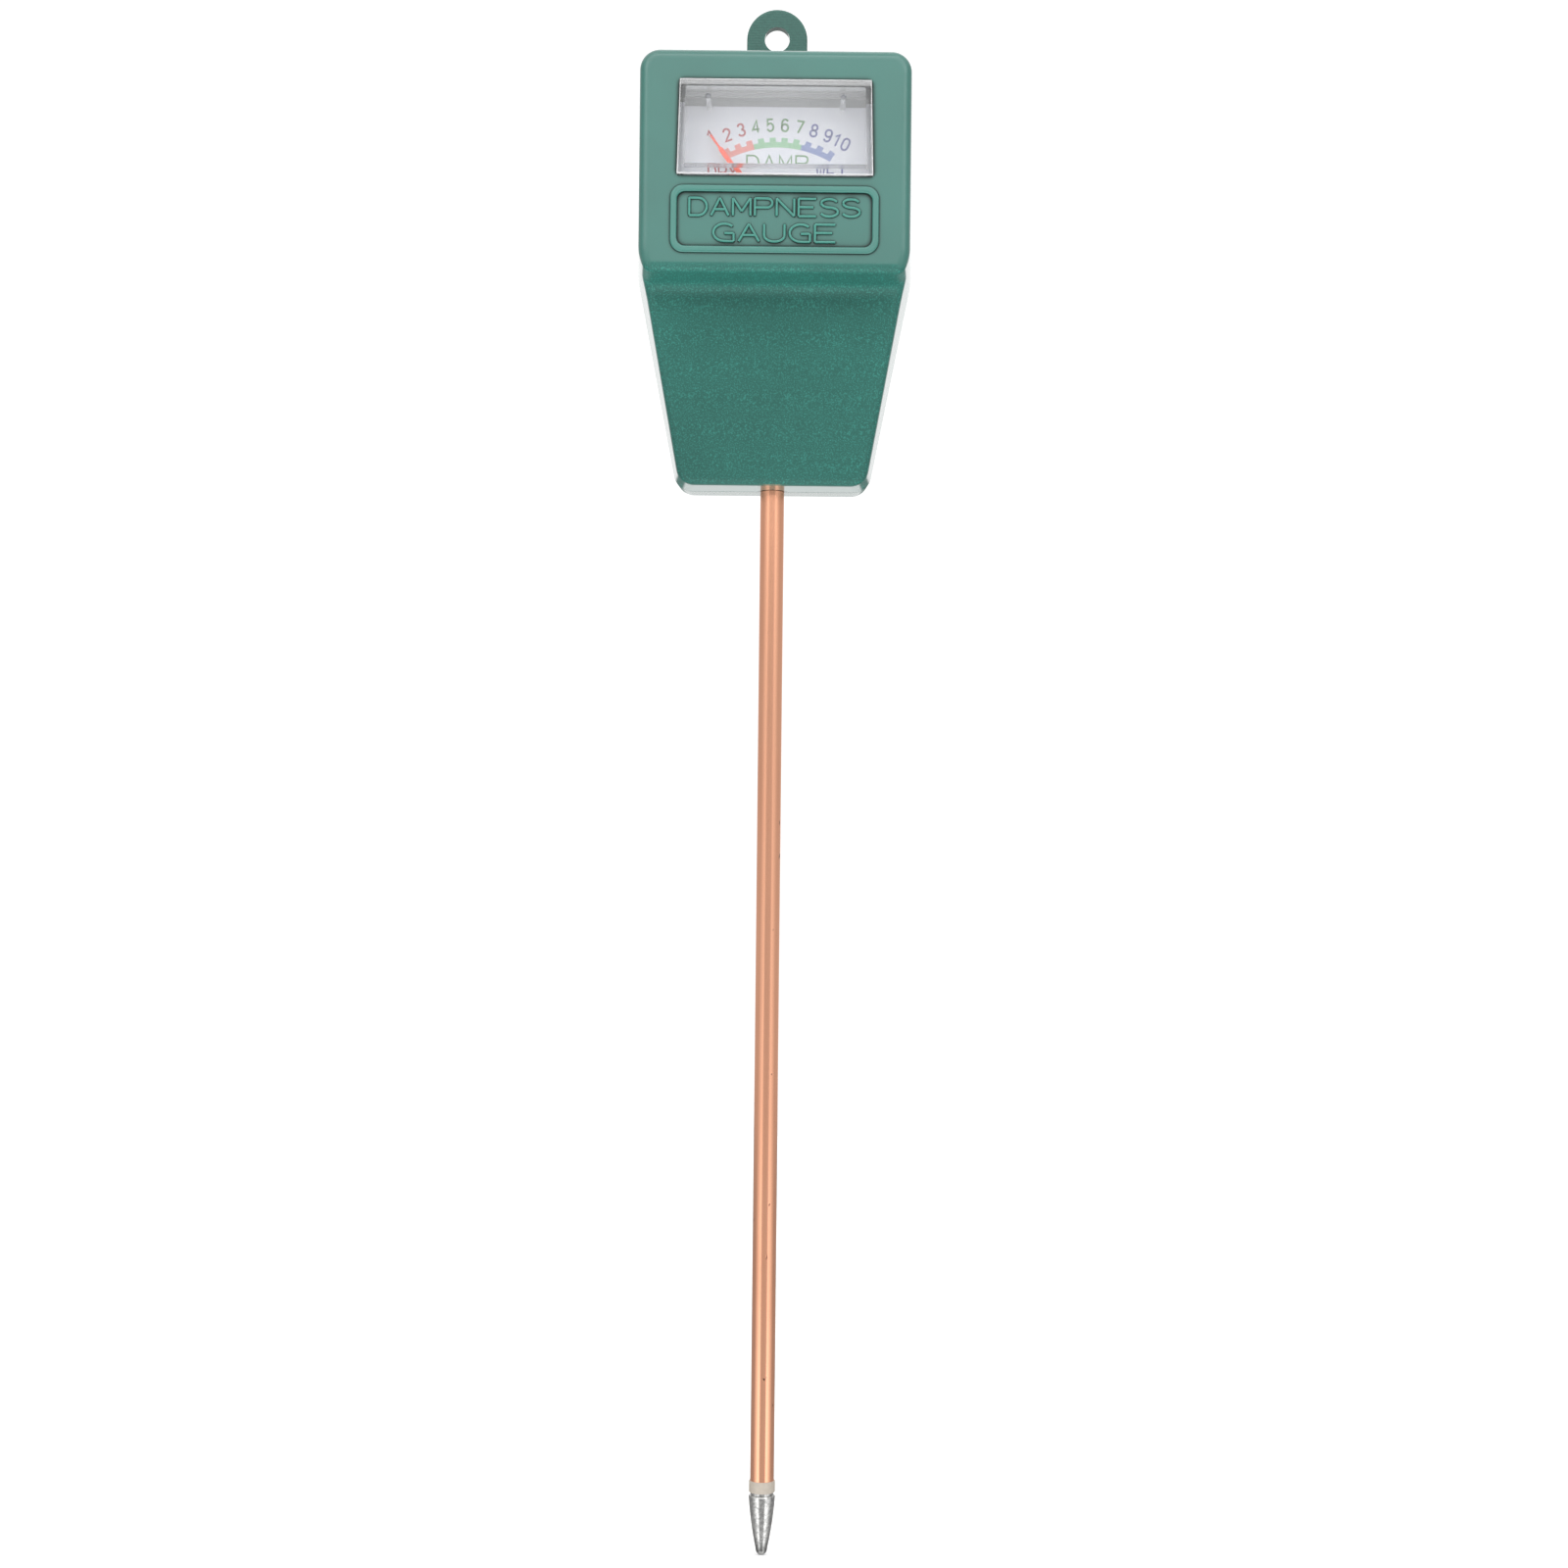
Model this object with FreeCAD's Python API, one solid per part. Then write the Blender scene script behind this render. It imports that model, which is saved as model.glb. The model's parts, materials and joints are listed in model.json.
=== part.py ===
import FreeCAD, Part
import math
import os

# Soil moisture meter: a moving-coil meter head on a long copper probe. Lengths in millimetres.
# +Z runs up the probe towards the head, -Y points out of the dial. The origin is on the
# probe's axis where it leaves the underside of the head, in the plane where the shells meet.

# Head
WALL = 1.6
CLEARANCE = 0.1
FACE_Y = -24.0
BACK_Y = 9.0
HEAD_TOP_Z = 74.75
HEAD_HALF_WIDTH = 24.63
SHOULDER_Z = 38.1
JOG_Z = 33.6
FOOT_HALF_WIDTH = 17.2
TOP_CORNER = 3.5
FOOT_CORNER = 2.7
SHOULDER_BLEND = 1.6
UPPER_DRAFT = math.tan(math.radians(3.2))
LOWER_DRAFT = math.tan(math.radians(5.6))
FOOT_DRAFT = math.tan(math.radians(2.6))
REAR_DRAFT = math.tan(math.radians(2.0))
STEP_Z = 35.3
STEP_FOOT_Z = 34.9
STEP_FOOT_Y = -13.6
LOWER_FACE_Y = -8.5
STEP_ROUND = 1.5
STEP_HOLLOW = 2.5
SHARP = 0.5
FACE_EDGE = 1.7
BACK_EDGE = 1.2
TONGUE = 1.5
TONGUE_INSET = 0.85
GROOVE = 0.3

# Hanging loop
LOOP_Z = 83.1
LOOP_RADIUS = 5.5
LOOP_HOLE = 2.27
LOOP_THICK = 2.5
LOOP_EDGE = 0.4

# Window and its clear cover
WINDOW_LOW_Z = 51.8
WINDOW_TOP_Z = 68.05
WINDOW_LOW_HALF = 16.8
WINDOW_TOP_HALF = 16.4
WINDOW_GAP = 0.1
SLEEVE_Y = -19.1
SLEEVE_WALL = 1.2
PANE_PROUD = 0.9
PANE_THICK = 1.5
PANE_EDGE = 0.15
COVER_SIDE = 1.0
COVER_ROOF = 1.05
COVER_SILL = 2.0
COVER_FLANGE = 1.0
FLANGE_REACH = 1.0
SILL_END_Y = -17.6
COVER_END_Y = -15.02
PEG_X = 11.6
PEG_Z = 65.3
PEG_RADIUS = 0.5

# Raised plaque frame under the window
PLAQUE_LOW_Z = 38.4
PLAQUE_TOP_Z = 50.0
PLAQUE_HALF = 17.9
PLAQUE_RIM = 1.15
PLAQUE_CORNER = 2.2
PLAQUE_PROUD = 0.5
PLAQUE_SINK = 0.2
PLAQUE_CROWN = 0.35

# Dial card and the plate behind it
CARD_Y = -15.0
CARD_THICK = 0.4
CARD_HALF = 17.2
CARD_LOW_Z = 48.0
CARD_TOP_Z = 65.5
PLATE_THICK = 1.4
PLATE_FRONT = CARD_Y + CARD_THICK
PLATE_BACK = PLATE_FRONT + PLATE_THICK
PLATE_HALF = 16.4
PLATE_LOW_Z = 38.4
PLATE_TOP_Z = 70.0
EAR_HALF = 21.6
EAR_LOW_Z = 43.4
EAR_TOP_Z = 63.6
PLATE_HOLE = 6.7
GATE_RADIUS = 0.45
GATE_PROUD = 0.25
POST_X = 20.1
POST_ZS = (45.6, 61.4)
POST_RADIUS = 1.8

# Movement, all about one axis along Y
PIVOT_Z = 44.9
CORE_RADIUS = 4.2
CORE_FRONT = -12.0
CORE_BACK = -5.2
PIN_RADIUS = 0.7
PIN_BURY = 1.5
PIN_SHORT = 0.2
YOKE_IN = 6.3
YOKE_OUT = 8.3
YOKE_BACK = -4.2
FORMER_IN = 4.65
FORMER_WALL = 0.25
FORMER_END_GAP = 0.5
COIL_THICK = 0.8
COIL_DEPTH = 2.8
COIL_CORNER = 0.6
SHAFT_RADIUS = 0.45
SHAFT_FLANGE = 0.25
SHAFT_FLANGE_RADIUS = 1.2
FRONT_SHAFT_Y = -17.9
REAR_SHAFT_Y = -0.5
CONE_LENGTH = 0.6
CONE_POINT = 0.05
BEARING_SCREW = 1.0
FRONT_BEARING_LENGTH = 2.7
REAR_BEARING_LENGTH = 3.2
CUP_RADIUS = 0.8
CUP_DEPTH = 0.75
DRIVER_SLOT_DEPTH = 0.5
DRIVER_SLOT_HALF = 0.15
FRONT_BRIDGE_Y = -19.6
REAR_BRIDGE_Y = 0.6
BRIDGE_THICK = 1.0
BRIDGE_HALF = 10.2
BRIDGE_FOOT_X = 14.4
FRONT_BRIDGE_HALF_Z = 1.4
REAR_BRIDGE_HALF_X = 1.3
LEG_THICK = 0.8
REAR_LEG = 1.4
REAR_LEG_GAP = 0.3
TAG_END_Y = -9.0
REAR_TAG_X = -10.6
FRONT_CUP_Y = -18.1
REAR_CUP_Y = -0.3
FRONT_SPRING_Y = -17.75
REAR_SPRING_Y = -2.3
SPRING_IN = 1.0
SPRING_TURNS = 4
SPRING_PITCH = 0.8
SPRING_STRIP = 0.18
SPRING_HEIGHT = 0.4
ANCHOR_OUT = 0.4
ANCHOR_IN = 0.2
ANCHOR_HEIGHT = 0.7
ZERO_RING = 2.2
ZERO_ARM_THICK = 0.3
ZERO_ARM_REACH = 7.0

# Pointer, drawn upright and then turned to its rest angle
POINTER_LENGTH = 19.0
POINTER_REST_DEG = -36.6
POINTER_SWING_DEG = 76.0
POINTER_Y = -16.75
POINTER_THICK = 0.3
POINTER_HALF = 0.4
POINTER_TIP_HALF = 0.18
POINTER_NECK = 15.9
POINTER_TAPER = 0.5
POINTER_TAIL = 6.2
HUB_RADIUS = 1.3
HUB_LENGTH = 0.8
WEIGHT_AT = 4.9
WEIGHT_SIDE = 0.75
WEIGHT_REACH = 0.55
POINTER_DENSITY = 2.7
WEIGHT_DENSITY = 8.5
STOP_RADIUS = 0.35
STOP_AT = 8.2
STOP_GAP = 0.12

# Probe
TUBE_RADIUS = 2.15
TUBE_BORE = 1.65
TUBE_LOW_Z = -177.7
NECK_RADIUS = 1.95
NECK_BORE = 1.45
NECK_TOP_Z = 17.0
RING_RADIUS = 2.35
RING_HEIGHT = 2.1
RING_SLEEVE = 7.0
RING_EDGE = 0.15
SPIGOT_RADIUS = 1.0
SPIGOT_LENGTH = 6.0
TIP_RADIUS = 2.37
TIP_LENGTH = 11.5
TIP_NECK_DEPTH = 0.3
TIP_NECK_HEIGHT = 0.45
TIP_SHOULDER = 0.9
NOSE_RADIUS = 1.05
NOSE_HEIGHT = 1.35
NOSE_BULGE = (0.68, 0.42)
FLANK_BULGE = (1.84, 5.7)
SHOULDER_BULGE = (2.29, 0.58)
NECK_GAP = 0.1
COLLAR_RADIUS = 3.6
COLLAR_LOW_Z = 6.0
COLLAR_HEIGHT = 3.0
RIB_THICK = 1.6
RIB_HALF = 5.5
STRAP_THICK = 0.4
STRAP_LOW_Z = 12.5
STRAP_HEIGHT = 2.0
STRAP_REACH = 5.4
LEAD_RADIUS = 0.45
TIP_LEAD_BENDS = ((0, 0, 20), (4, -5, 28.5))
TIP_LEAD_TURN_Z = 34.5
TIP_LEAD_OFF_TAG = 0.6
TUBE_LEAD_START_X = -4.7
TUBE_LEAD_BEND = (-5.2, 0.4, 21)
TUBE_LEAD_X = -9.3
TUBE_LEAD_TURN_Z = 30

# Fasteners
CASE_SCREW_XZ = ((19.9, 70.0), (11.0, 9.0))
BOSS_RADIUS = 2.3
BOSS_GAP = 0.2
BOSS_ROOT = 1.0
LOW_BOSS_Y = -9.0
SCREW_SEAT_Y = 6.0
SCREW_RADIUS = 1.1
SCREW_HEAD = 2.1
SCREW_LENGTH = 12.0
SCREW_HEAD_HEIGHT = 1.5
COUNTERBORE = 2.4
REAR_BOSS = 3.1
SHANK_GAP = 0.15
PLATE_SCREW = 0.9
PLATE_HEAD = 1.7
PLATE_HEAD_HEIGHT = 1.1
PLATE_SCREW_BITE = 4.2
BRIDGE_SCREW_X = 12.7
BRIDGE_SCREW = 0.5
BRIDGE_SCREW_LENGTH = 1.6
BRIDGE_HEAD = 0.9
BRIDGE_HEAD_HEIGHT = 0.5


def vec(x, y, z):
    return FreeCAD.Vector(x, y, z)


def box(x0, x1, y0, y1, z0, z1):
    return Part.makeBox(x1 - x0, y1 - y0, z1 - z0, vec(x0, y0, z0))


def rod(x, z, radius, y0, y1):
    """Round bar along Y."""
    return Part.makeCylinder(radius, y1 - y0, vec(x, y0, z), vec(0, 1, 0))


def fused(shapes):
    return shapes[0].fuse(shapes[1:]).removeSplitter()


def rounded_wire(corners):
    """Closed wire through (point, blend) corners: each corner becomes an arc of that reach."""
    arcs = []
    count = len(corners)
    for i, (point, blend) in enumerate(corners):
        before = (corners[i - 1][0] - point).normalize()
        after = (corners[(i + 1) % count][0] - point).normalize()
        half = before.getAngle(after) / 2
        inward = (before + after).normalize()
        centre = point + inward * (blend / math.cos(half))
        middle = centre - inward * (blend * math.tan(half))
        arcs.append((point + before * blend, middle, point + after * blend))
    edges = []
    for i, (start, middle, end) in enumerate(arcs):
        edges.append(Part.Arc(start, middle, end).toShape())
        edges.append(Part.LineSegment(end, arcs[(i + 1) % count][0]).toShape())
    return Part.Wire(edges)


def mirrored_corners(half_corners, y):
    """Corners for one side, given as (x, z, blend) from the top down, repeated on the other."""
    right = [(vec(x, y, z), blend) for x, z, blend in half_corners]
    left = [(vec(-x, y, z), blend) for x, z, blend in reversed(half_corners)]
    return right + left


def head_outline(y, inset):
    """Outline of the head at depth y, drawn in by inset; every wall leans in from y = 0."""
    if y <= 0:
        upper = UPPER_DRAFT * y
        lower = LOWER_DRAFT * y
        foot_z = inset - FOOT_DRAFT * y
    else:
        upper = -REAR_DRAFT * y
        lower = upper
        foot_z = inset + 0.1 * REAR_DRAFT * y
    slope = (HEAD_HALF_WIDTH - FOOT_HALF_WIDTH) / SHOULDER_Z
    jog = HEAD_HALF_WIDTH - slope * (SHOULDER_Z - JOG_Z) - 0.04
    half_corners = [
        (HEAD_HALF_WIDTH + upper - inset, HEAD_TOP_Z + upper - inset, TOP_CORNER - 0.8 * inset),
        (HEAD_HALF_WIDTH + upper - inset, SHOULDER_Z, SHOULDER_BLEND),
        (jog + lower - inset, JOG_Z, SHOULDER_BLEND),
        (FOOT_HALF_WIDTH + lower - inset + slope * foot_z, foot_z, FOOT_CORNER - 0.8 * inset),
    ]
    return rounded_wire(mirrored_corners(half_corners, y))


def head_block(inset, y0, y1):
    return Part.makeLoft([head_outline(y0, inset), head_outline(y1, inset)], True, True)


def face_envelope(inset):
    """Everything behind the front contour: upper face, step, hollow and lower face."""
    reach = 40.0
    high = 95.0
    low = -6.0
    lean = (LOWER_FACE_Y - STEP_FOOT_Y) / STEP_FOOT_Z
    corners = [
        (vec(-reach, BACK_Y + 5, high), SHARP),
        (vec(-reach, FACE_Y + inset, high), SHARP),
        (vec(-reach, FACE_Y + inset, STEP_Z + inset), max(STEP_ROUND - 0.8 * inset, SHARP)),
        (vec(-reach, STEP_FOOT_Y + inset, STEP_FOOT_Z + inset), STEP_HOLLOW),
        (vec(-reach, LOWER_FACE_Y - lean * low + inset, low), SHARP),
        (vec(-reach, BACK_Y + 5, low), SHARP),
    ]
    return Part.Face(rounded_wire(corners)).extrude(vec(2 * reach, 0, 0))


def edges_on(shape, first, second):
    """Edges of shape whose middle lies on the surfaces of both other solids."""
    found = []
    for edge in shape.Edges:
        middle = edge.valueAt((edge.FirstParameter + edge.LastParameter) / 2)
        spot = Part.Vertex(middle)
        near = [other.Shells[0].distToShape(spot)[0] for other in (first, second)]
        if max(near) < 1e-3:
            found.append(edge)
    return found


def both_sides(make, xz_pairs):
    """The same feature at (x, z) and (-x, z) for each pair."""
    return [make(side * x, z) for x, z in xz_pairs for side in (1, -1)]


def window_prism(grow, y0, y1, drop_low=0.0, drop_top=0.0):
    """Window shape grown by grow on its sides, between two depths."""
    low_half = WINDOW_LOW_HALF + grow
    top_half = WINDOW_TOP_HALF + grow
    low_z = WINDOW_LOW_Z - grow + drop_low
    top_z = WINDOW_TOP_Z + grow - drop_top
    points = [
        vec(-low_half, y0, low_z),
        vec(low_half, y0, low_z),
        vec(top_half, y0, top_z),
        vec(-top_half, y0, top_z),
    ]
    return Part.Face(Part.makePolygon(points + points[:1])).extrude(vec(0, y1 - y0, 0))


def rounded_slab(half, low_z, top_z, corner, y0, y1):
    corners = mirrored_corners([(half, top_z, corner), (half, low_z, corner)], y0)
    return Part.Face(rounded_wire(corners)).extrude(vec(0, y1 - y0, 0))


def plaque_frame():
    outer = rounded_slab(PLAQUE_HALF, PLAQUE_LOW_Z, PLAQUE_TOP_Z, PLAQUE_CORNER,
                         FACE_Y - PLAQUE_PROUD, FACE_Y + 0.5)
    inner = plaque_field(FACE_Y - 1, FACE_Y + 1)
    frame = outer.cut(inner)
    crown = [e for e in frame.Edges
             if abs(e.BoundBox.YMin - (FACE_Y - PLAQUE_PROUD)) < 1e-4
             and abs(e.BoundBox.YMax - (FACE_Y - PLAQUE_PROUD)) < 1e-4]
    return frame.makeFillet(PLAQUE_CROWN, crown)


def plaque_field(y0, y1):
    return rounded_slab(PLAQUE_HALF - PLAQUE_RIM, PLAQUE_LOW_Z + PLAQUE_RIM,
                        PLAQUE_TOP_Z - PLAQUE_RIM, PLAQUE_CORNER - 0.7 * PLAQUE_RIM, y0, y1)


def probe_ribs(y0, y1):
    """Ribs above and below the probe collar, between the walls of one shell."""
    under = COLLAR_LOW_Z - CLEARANCE
    lower = box(-RIB_HALF, RIB_HALF, y0, y1, under - RIB_THICK, under)
    over = COLLAR_LOW_Z + COLLAR_HEIGHT + CLEARANCE
    upper = box(-RIB_HALF, RIB_HALF, y0, y1, over, over + RIB_THICK)
    return [lower, upper]


def probe_hole():
    return Part.makeCylinder(NECK_RADIUS + NECK_GAP, 30, vec(0, 0, -5))


def front_shell():
    block = head_block(0, 0, FACE_Y - 3)
    contour = face_envelope(0)
    outer = block.common(contour)
    outer = outer.makeFillet(FACE_EDGE, edges_on(outer, block, contour))
    hollow = head_block(WALL, 0, FACE_Y - 3).common(face_envelope(WALL))
    shell = outer.cut(hollow)
    rebate = head_block(TONGUE_INSET - CLEARANCE, 0, -TONGUE - CLEARANCE)
    wall_y = FACE_Y + BOSS_ROOT
    posts = both_sides(lambda x, z: rod(x, z, POST_RADIUS, wall_y, PLATE_FRONT),
                       [(POST_X, z) for z in POST_ZS])
    high, low = CASE_SCREW_XZ
    bosses = both_sides(lambda x, z: rod(x, z, BOSS_RADIUS, wall_y, -BOSS_GAP), [high])
    bosses += both_sides(lambda x, z: rod(x, z, BOSS_RADIUS, LOW_BOSS_Y, -BOSS_GAP), [low])
    sleeve = window_prism(WINDOW_GAP + SLEEVE_WALL, wall_y, SLEEVE_Y)
    inside = posts + bosses + [sleeve] + probe_ribs(LOW_BOSS_Y, -CLEARANCE)
    shell = fused([shell.cut(rebate)] + [part.common(outer) for part in inside])
    shell = fused([shell, plaque_frame()])
    shell = shell.cut(plaque_field(FACE_Y - 1, FACE_Y + PLAQUE_SINK))
    pilots = both_sides(lambda x, z: rod(x, z, PLATE_SCREW, PLATE_FRONT - 5, PLATE_FRONT),
                        [(POST_X, z) for z in POST_ZS])
    screw_end = SCREW_SEAT_Y - SCREW_LENGTH
    pilots += both_sides(lambda x, z: rod(x, z, SCREW_RADIUS, screw_end - 0.3, 0), CASE_SCREW_XZ)
    opening = window_prism(WINDOW_GAP, FACE_Y - 2, SLEEVE_Y + 1)
    return shell.cut([opening, probe_hole()] + pilots)


def loop_plate():
    """Flat tongue with a round end, its hole and softened edges."""
    front = BACK_Y - LOOP_THICK
    tongue = box(-LOOP_RADIUS, LOOP_RADIUS, front, BACK_Y, HEAD_TOP_Z - 1.6, LOOP_Z)
    eye = rod(0, LOOP_Z, LOOP_RADIUS, front, BACK_Y)
    plate = fused([tongue, eye])
    rim = [e for e in plate.Edges if e.BoundBox.ZMax > HEAD_TOP_Z + 1 and e.BoundBox.YLength < 0.01]
    plate = plate.makeFillet(LOOP_EDGE, rim)
    return plate.cut(rod(0, LOOP_Z, LOOP_HOLE, front - 1, BACK_Y + 1))


def rear_shell():
    outer = head_block(0, 0, BACK_Y)
    back_rim = [e for e in outer.Edges if e.BoundBox.YMin > BACK_Y - 1e-3]
    outer = outer.makeFillet(BACK_EDGE, back_rim)
    shell = outer.cut(head_block(WALL, 0, BACK_Y - WALL))
    groove = head_block(-1, 0, GROOVE).cut(head_block(GROOVE, 0, GROOVE))
    tongue = head_block(TONGUE_INSET, -TONGUE, 0).cut(head_block(WALL, -TONGUE, 0))
    bosses = both_sides(lambda x, z: rod(x, z, REAR_BOSS, 0, BACK_Y - 0.5), CASE_SCREW_XZ)
    bosses = [boss.common(outer) for boss in bosses]
    shell = fused([shell.cut(groove), tongue] + bosses + probe_ribs(0, BACK_Y - 1) + [loop_plate()])
    wells = both_sides(lambda x, z: rod(x, z, COUNTERBORE, SCREW_SEAT_Y, BACK_Y + 1), CASE_SCREW_XZ)
    wells += both_sides(lambda x, z: rod(x, z, SCREW_RADIUS + SHANK_GAP, -1, BACK_Y), CASE_SCREW_XZ)
    return shell.cut([probe_hole()] + wells)


def clear_cover():
    pane_y = FACE_Y - PANE_PROUD
    outer = window_prism(0, pane_y, COVER_END_Y)
    rim = [e for e in outer.Edges if e.BoundBox.YMax < pane_y + 1e-3]
    outer = outer.makeChamfer(PANE_EDGE, rim)
    cavity = window_prism(-COVER_SIDE, pane_y + PANE_THICK, CARD_Y + 1,
                          COVER_SILL - COVER_SIDE, COVER_ROOF - COVER_SIDE)
    flange = window_prism(FLANGE_REACH, SLEEVE_Y + 0.05, SLEEVE_Y + 0.05 + COVER_FLANGE)
    pegs = both_sides(lambda x, z: rod(x, z, PEG_RADIUS, pane_y + 1, COVER_END_Y),
                      [(PEG_X, PEG_Z)])
    needle_way = box(-WINDOW_LOW_HALF + COVER_SIDE, WINDOW_LOW_HALF - COVER_SIDE,
                     SILL_END_Y, CARD_Y + 1, WINDOW_LOW_Z - 1, WINDOW_LOW_Z + COVER_SILL + 0.1)
    return fused([outer.fuse(flange).cut([cavity, needle_way])] + pegs)


def dial_card():
    card = box(-CARD_HALF, CARD_HALF, CARD_Y, CARD_Y + CARD_THICK, CARD_LOW_Z, CARD_TOP_Z)
    return card.cut([rod(x, z, STOP_RADIUS + CLEARANCE, CARD_Y - 1, CARD_Y + 1) for x, z in stop_spots()])


def movement_plate():
    panel = box(-PLATE_HALF, PLATE_HALF, PLATE_FRONT, PLATE_BACK, PLATE_LOW_Z, PLATE_TOP_Z)
    ears = box(-EAR_HALF, EAR_HALF, PLATE_FRONT, PLATE_BACK, EAR_LOW_Z, EAR_TOP_Z)
    gate = rod(0, CARD_TOP_Z + 0.5, GATE_RADIUS, PLATE_FRONT - GATE_PROUD, PLATE_BACK)
    plate = fused([panel, ears, gate])
    holes = [rod(0, PIVOT_Z, PLATE_HOLE, PLATE_FRONT - 1, PLATE_BACK + 1)]
    holes += both_sides(lambda x, z: rod(x, z, PLATE_SCREW, PLATE_FRONT - 1, PLATE_BACK + 1),
                        [(POST_X, z) for z in POST_ZS])
    holes += [rod(x, z, STOP_RADIUS, PLATE_FRONT - 1, PLATE_BACK + 1) for x, z in stop_spots()]
    return plate.cut(holes + bridge_legs() + [bridge_screws()])


def screw(x, z, seat_y, shank, shank_length, head, head_height, facing):
    """Screw along Y with a cross recess; facing is the side its head is on, 1 or -1."""
    top_y = seat_y + facing * head_height
    end_y = seat_y - facing * shank_length
    neck_y = end_y + facing * shank
    body = rod(x, z, head, min(seat_y, top_y), max(seat_y, top_y))
    rim = [e for e in body.Edges if abs(e.BoundBox.YMin - top_y) < 1e-4 and e.BoundBox.YLength < 1e-4]
    body = body.makeFillet(0.45 * head_height, rim)
    stem = rod(x, z, shank, min(seat_y, neck_y), max(seat_y, neck_y))
    point = Part.makeCone(shank, 0.25 * shank, shank, vec(x, neck_y, z), vec(0, -facing, 0))
    arm = 0.6 * head
    deep = 0.6 * head_height
    slot = 0.16 * head
    low_y, high_y = sorted((top_y - facing * deep, top_y + facing))
    cross = [box(x - arm, x + arm, low_y, high_y, z - slot, z + slot),
             box(x - slot, x + slot, low_y, high_y, z - arm, z + arm)]
    return fused([body, stem, point]).cut(cross)


def case_screws():
    return Part.makeCompound(both_sides(
        lambda x, z: screw(x, z, SCREW_SEAT_Y, SCREW_RADIUS, SCREW_LENGTH, SCREW_HEAD,
                           SCREW_HEAD_HEIGHT, 1),
        CASE_SCREW_XZ))


def movement_screws():
    return Part.makeCompound(both_sides(
        lambda x, z: screw(x, z, PLATE_BACK, PLATE_SCREW, PLATE_THICK + PLATE_SCREW_BITE, PLATE_HEAD,
                           PLATE_HEAD_HEIGHT, 1),
        [(POST_X, z) for z in POST_ZS]))


def bridge_screws():
    return Part.makeCompound(both_sides(
        lambda x, z: screw(x, z, PLATE_FRONT - LEG_THICK, BRIDGE_SCREW, BRIDGE_SCREW_LENGTH,
                           BRIDGE_HEAD, BRIDGE_HEAD_HEIGHT, -1),
        [(BRIDGE_SCREW_X, PIVOT_Z)]))


def core_pins():
    """Two round pins, above and below the axis, from the core through the yoke."""
    pins = []
    middle = (CORE_FRONT + CORE_BACK) / 2
    for side in (1, -1):
        start = vec(0, middle, PIVOT_Z + side * (CORE_RADIUS - PIN_BURY))
        length = YOKE_OUT - PIN_SHORT - (CORE_RADIUS - PIN_BURY)
        pins.append(Part.makeCylinder(PIN_RADIUS, length, start, vec(0, 0, side)))
    return Part.makeCompound(pins)


def core_magnet():
    return rod(0, PIVOT_Z, CORE_RADIUS, CORE_FRONT, CORE_BACK).cut(core_pins())


def yoke_ring():
    ring = rod(0, PIVOT_Z, YOKE_OUT, PLATE_BACK, YOKE_BACK)
    bore = rod(0, PIVOT_Z, YOKE_IN, PLATE_BACK - 1, YOKE_BACK + 1)
    return ring.cut([bore, core_pins()])


def at_rest(shape):
    """Turn a moving piece from upright to the pointer's rest angle."""
    shape.rotate(vec(0, 0, PIVOT_Z), vec(0, 1, 0), POINTER_REST_DEG)
    return shape


def coil_frame(inner, wall, depth):
    """Rectangular frame round the core: inner half width, wall and depth across the coil."""
    front = CORE_FRONT - FORMER_END_GAP - (inner - FORMER_IN)
    back = CORE_BACK + FORMER_END_GAP + (inner - FORMER_IN)
    half = depth / 2
    outer = box(-inner - wall, inner + wall, front - wall, back + wall, PIVOT_Z - half, PIVOT_Z + half)
    return outer.cut(box(-inner, inner, front, back, PIVOT_Z - depth, PIVOT_Z + depth))


def coil_former():
    return at_rest(coil_frame(FORMER_IN, FORMER_WALL, COIL_DEPTH))


def coil_winding():
    frame = coil_frame(FORMER_IN + FORMER_WALL, COIL_THICK, COIL_DEPTH - 0.3)
    outside = FORMER_IN + FORMER_WALL + COIL_THICK - 0.01
    corners = [e for e in frame.Edges
               if e.BoundBox.ZLength > COIL_DEPTH / 2 and abs(e.BoundBox.Center.x) > outside]
    return at_rest(frame.makeFillet(COIL_CORNER, corners))


def pivot(coil_y, shaft_y):
    """Half shaft cemented to one end of the coil, with a cone for its bearing."""
    way = 1 if shaft_y > coil_y else -1
    flange = Part.makeCylinder(SHAFT_FLANGE_RADIUS, SHAFT_FLANGE, vec(0, coil_y, PIVOT_Z), vec(0, way, 0))
    length = abs(shaft_y - coil_y)
    shaft = Part.makeCylinder(SHAFT_RADIUS, length, vec(0, coil_y, PIVOT_Z), vec(0, way, 0))
    point = Part.makeCone(SHAFT_RADIUS, CONE_POINT, CONE_LENGTH, vec(0, shaft_y, PIVOT_Z), vec(0, way, 0))
    return fused([flange, shaft, point])


def coil_end(side):
    reach = FORMER_END_GAP + FORMER_WALL + COIL_THICK
    return CORE_FRONT - reach if side < 0 else CORE_BACK + reach


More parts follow.
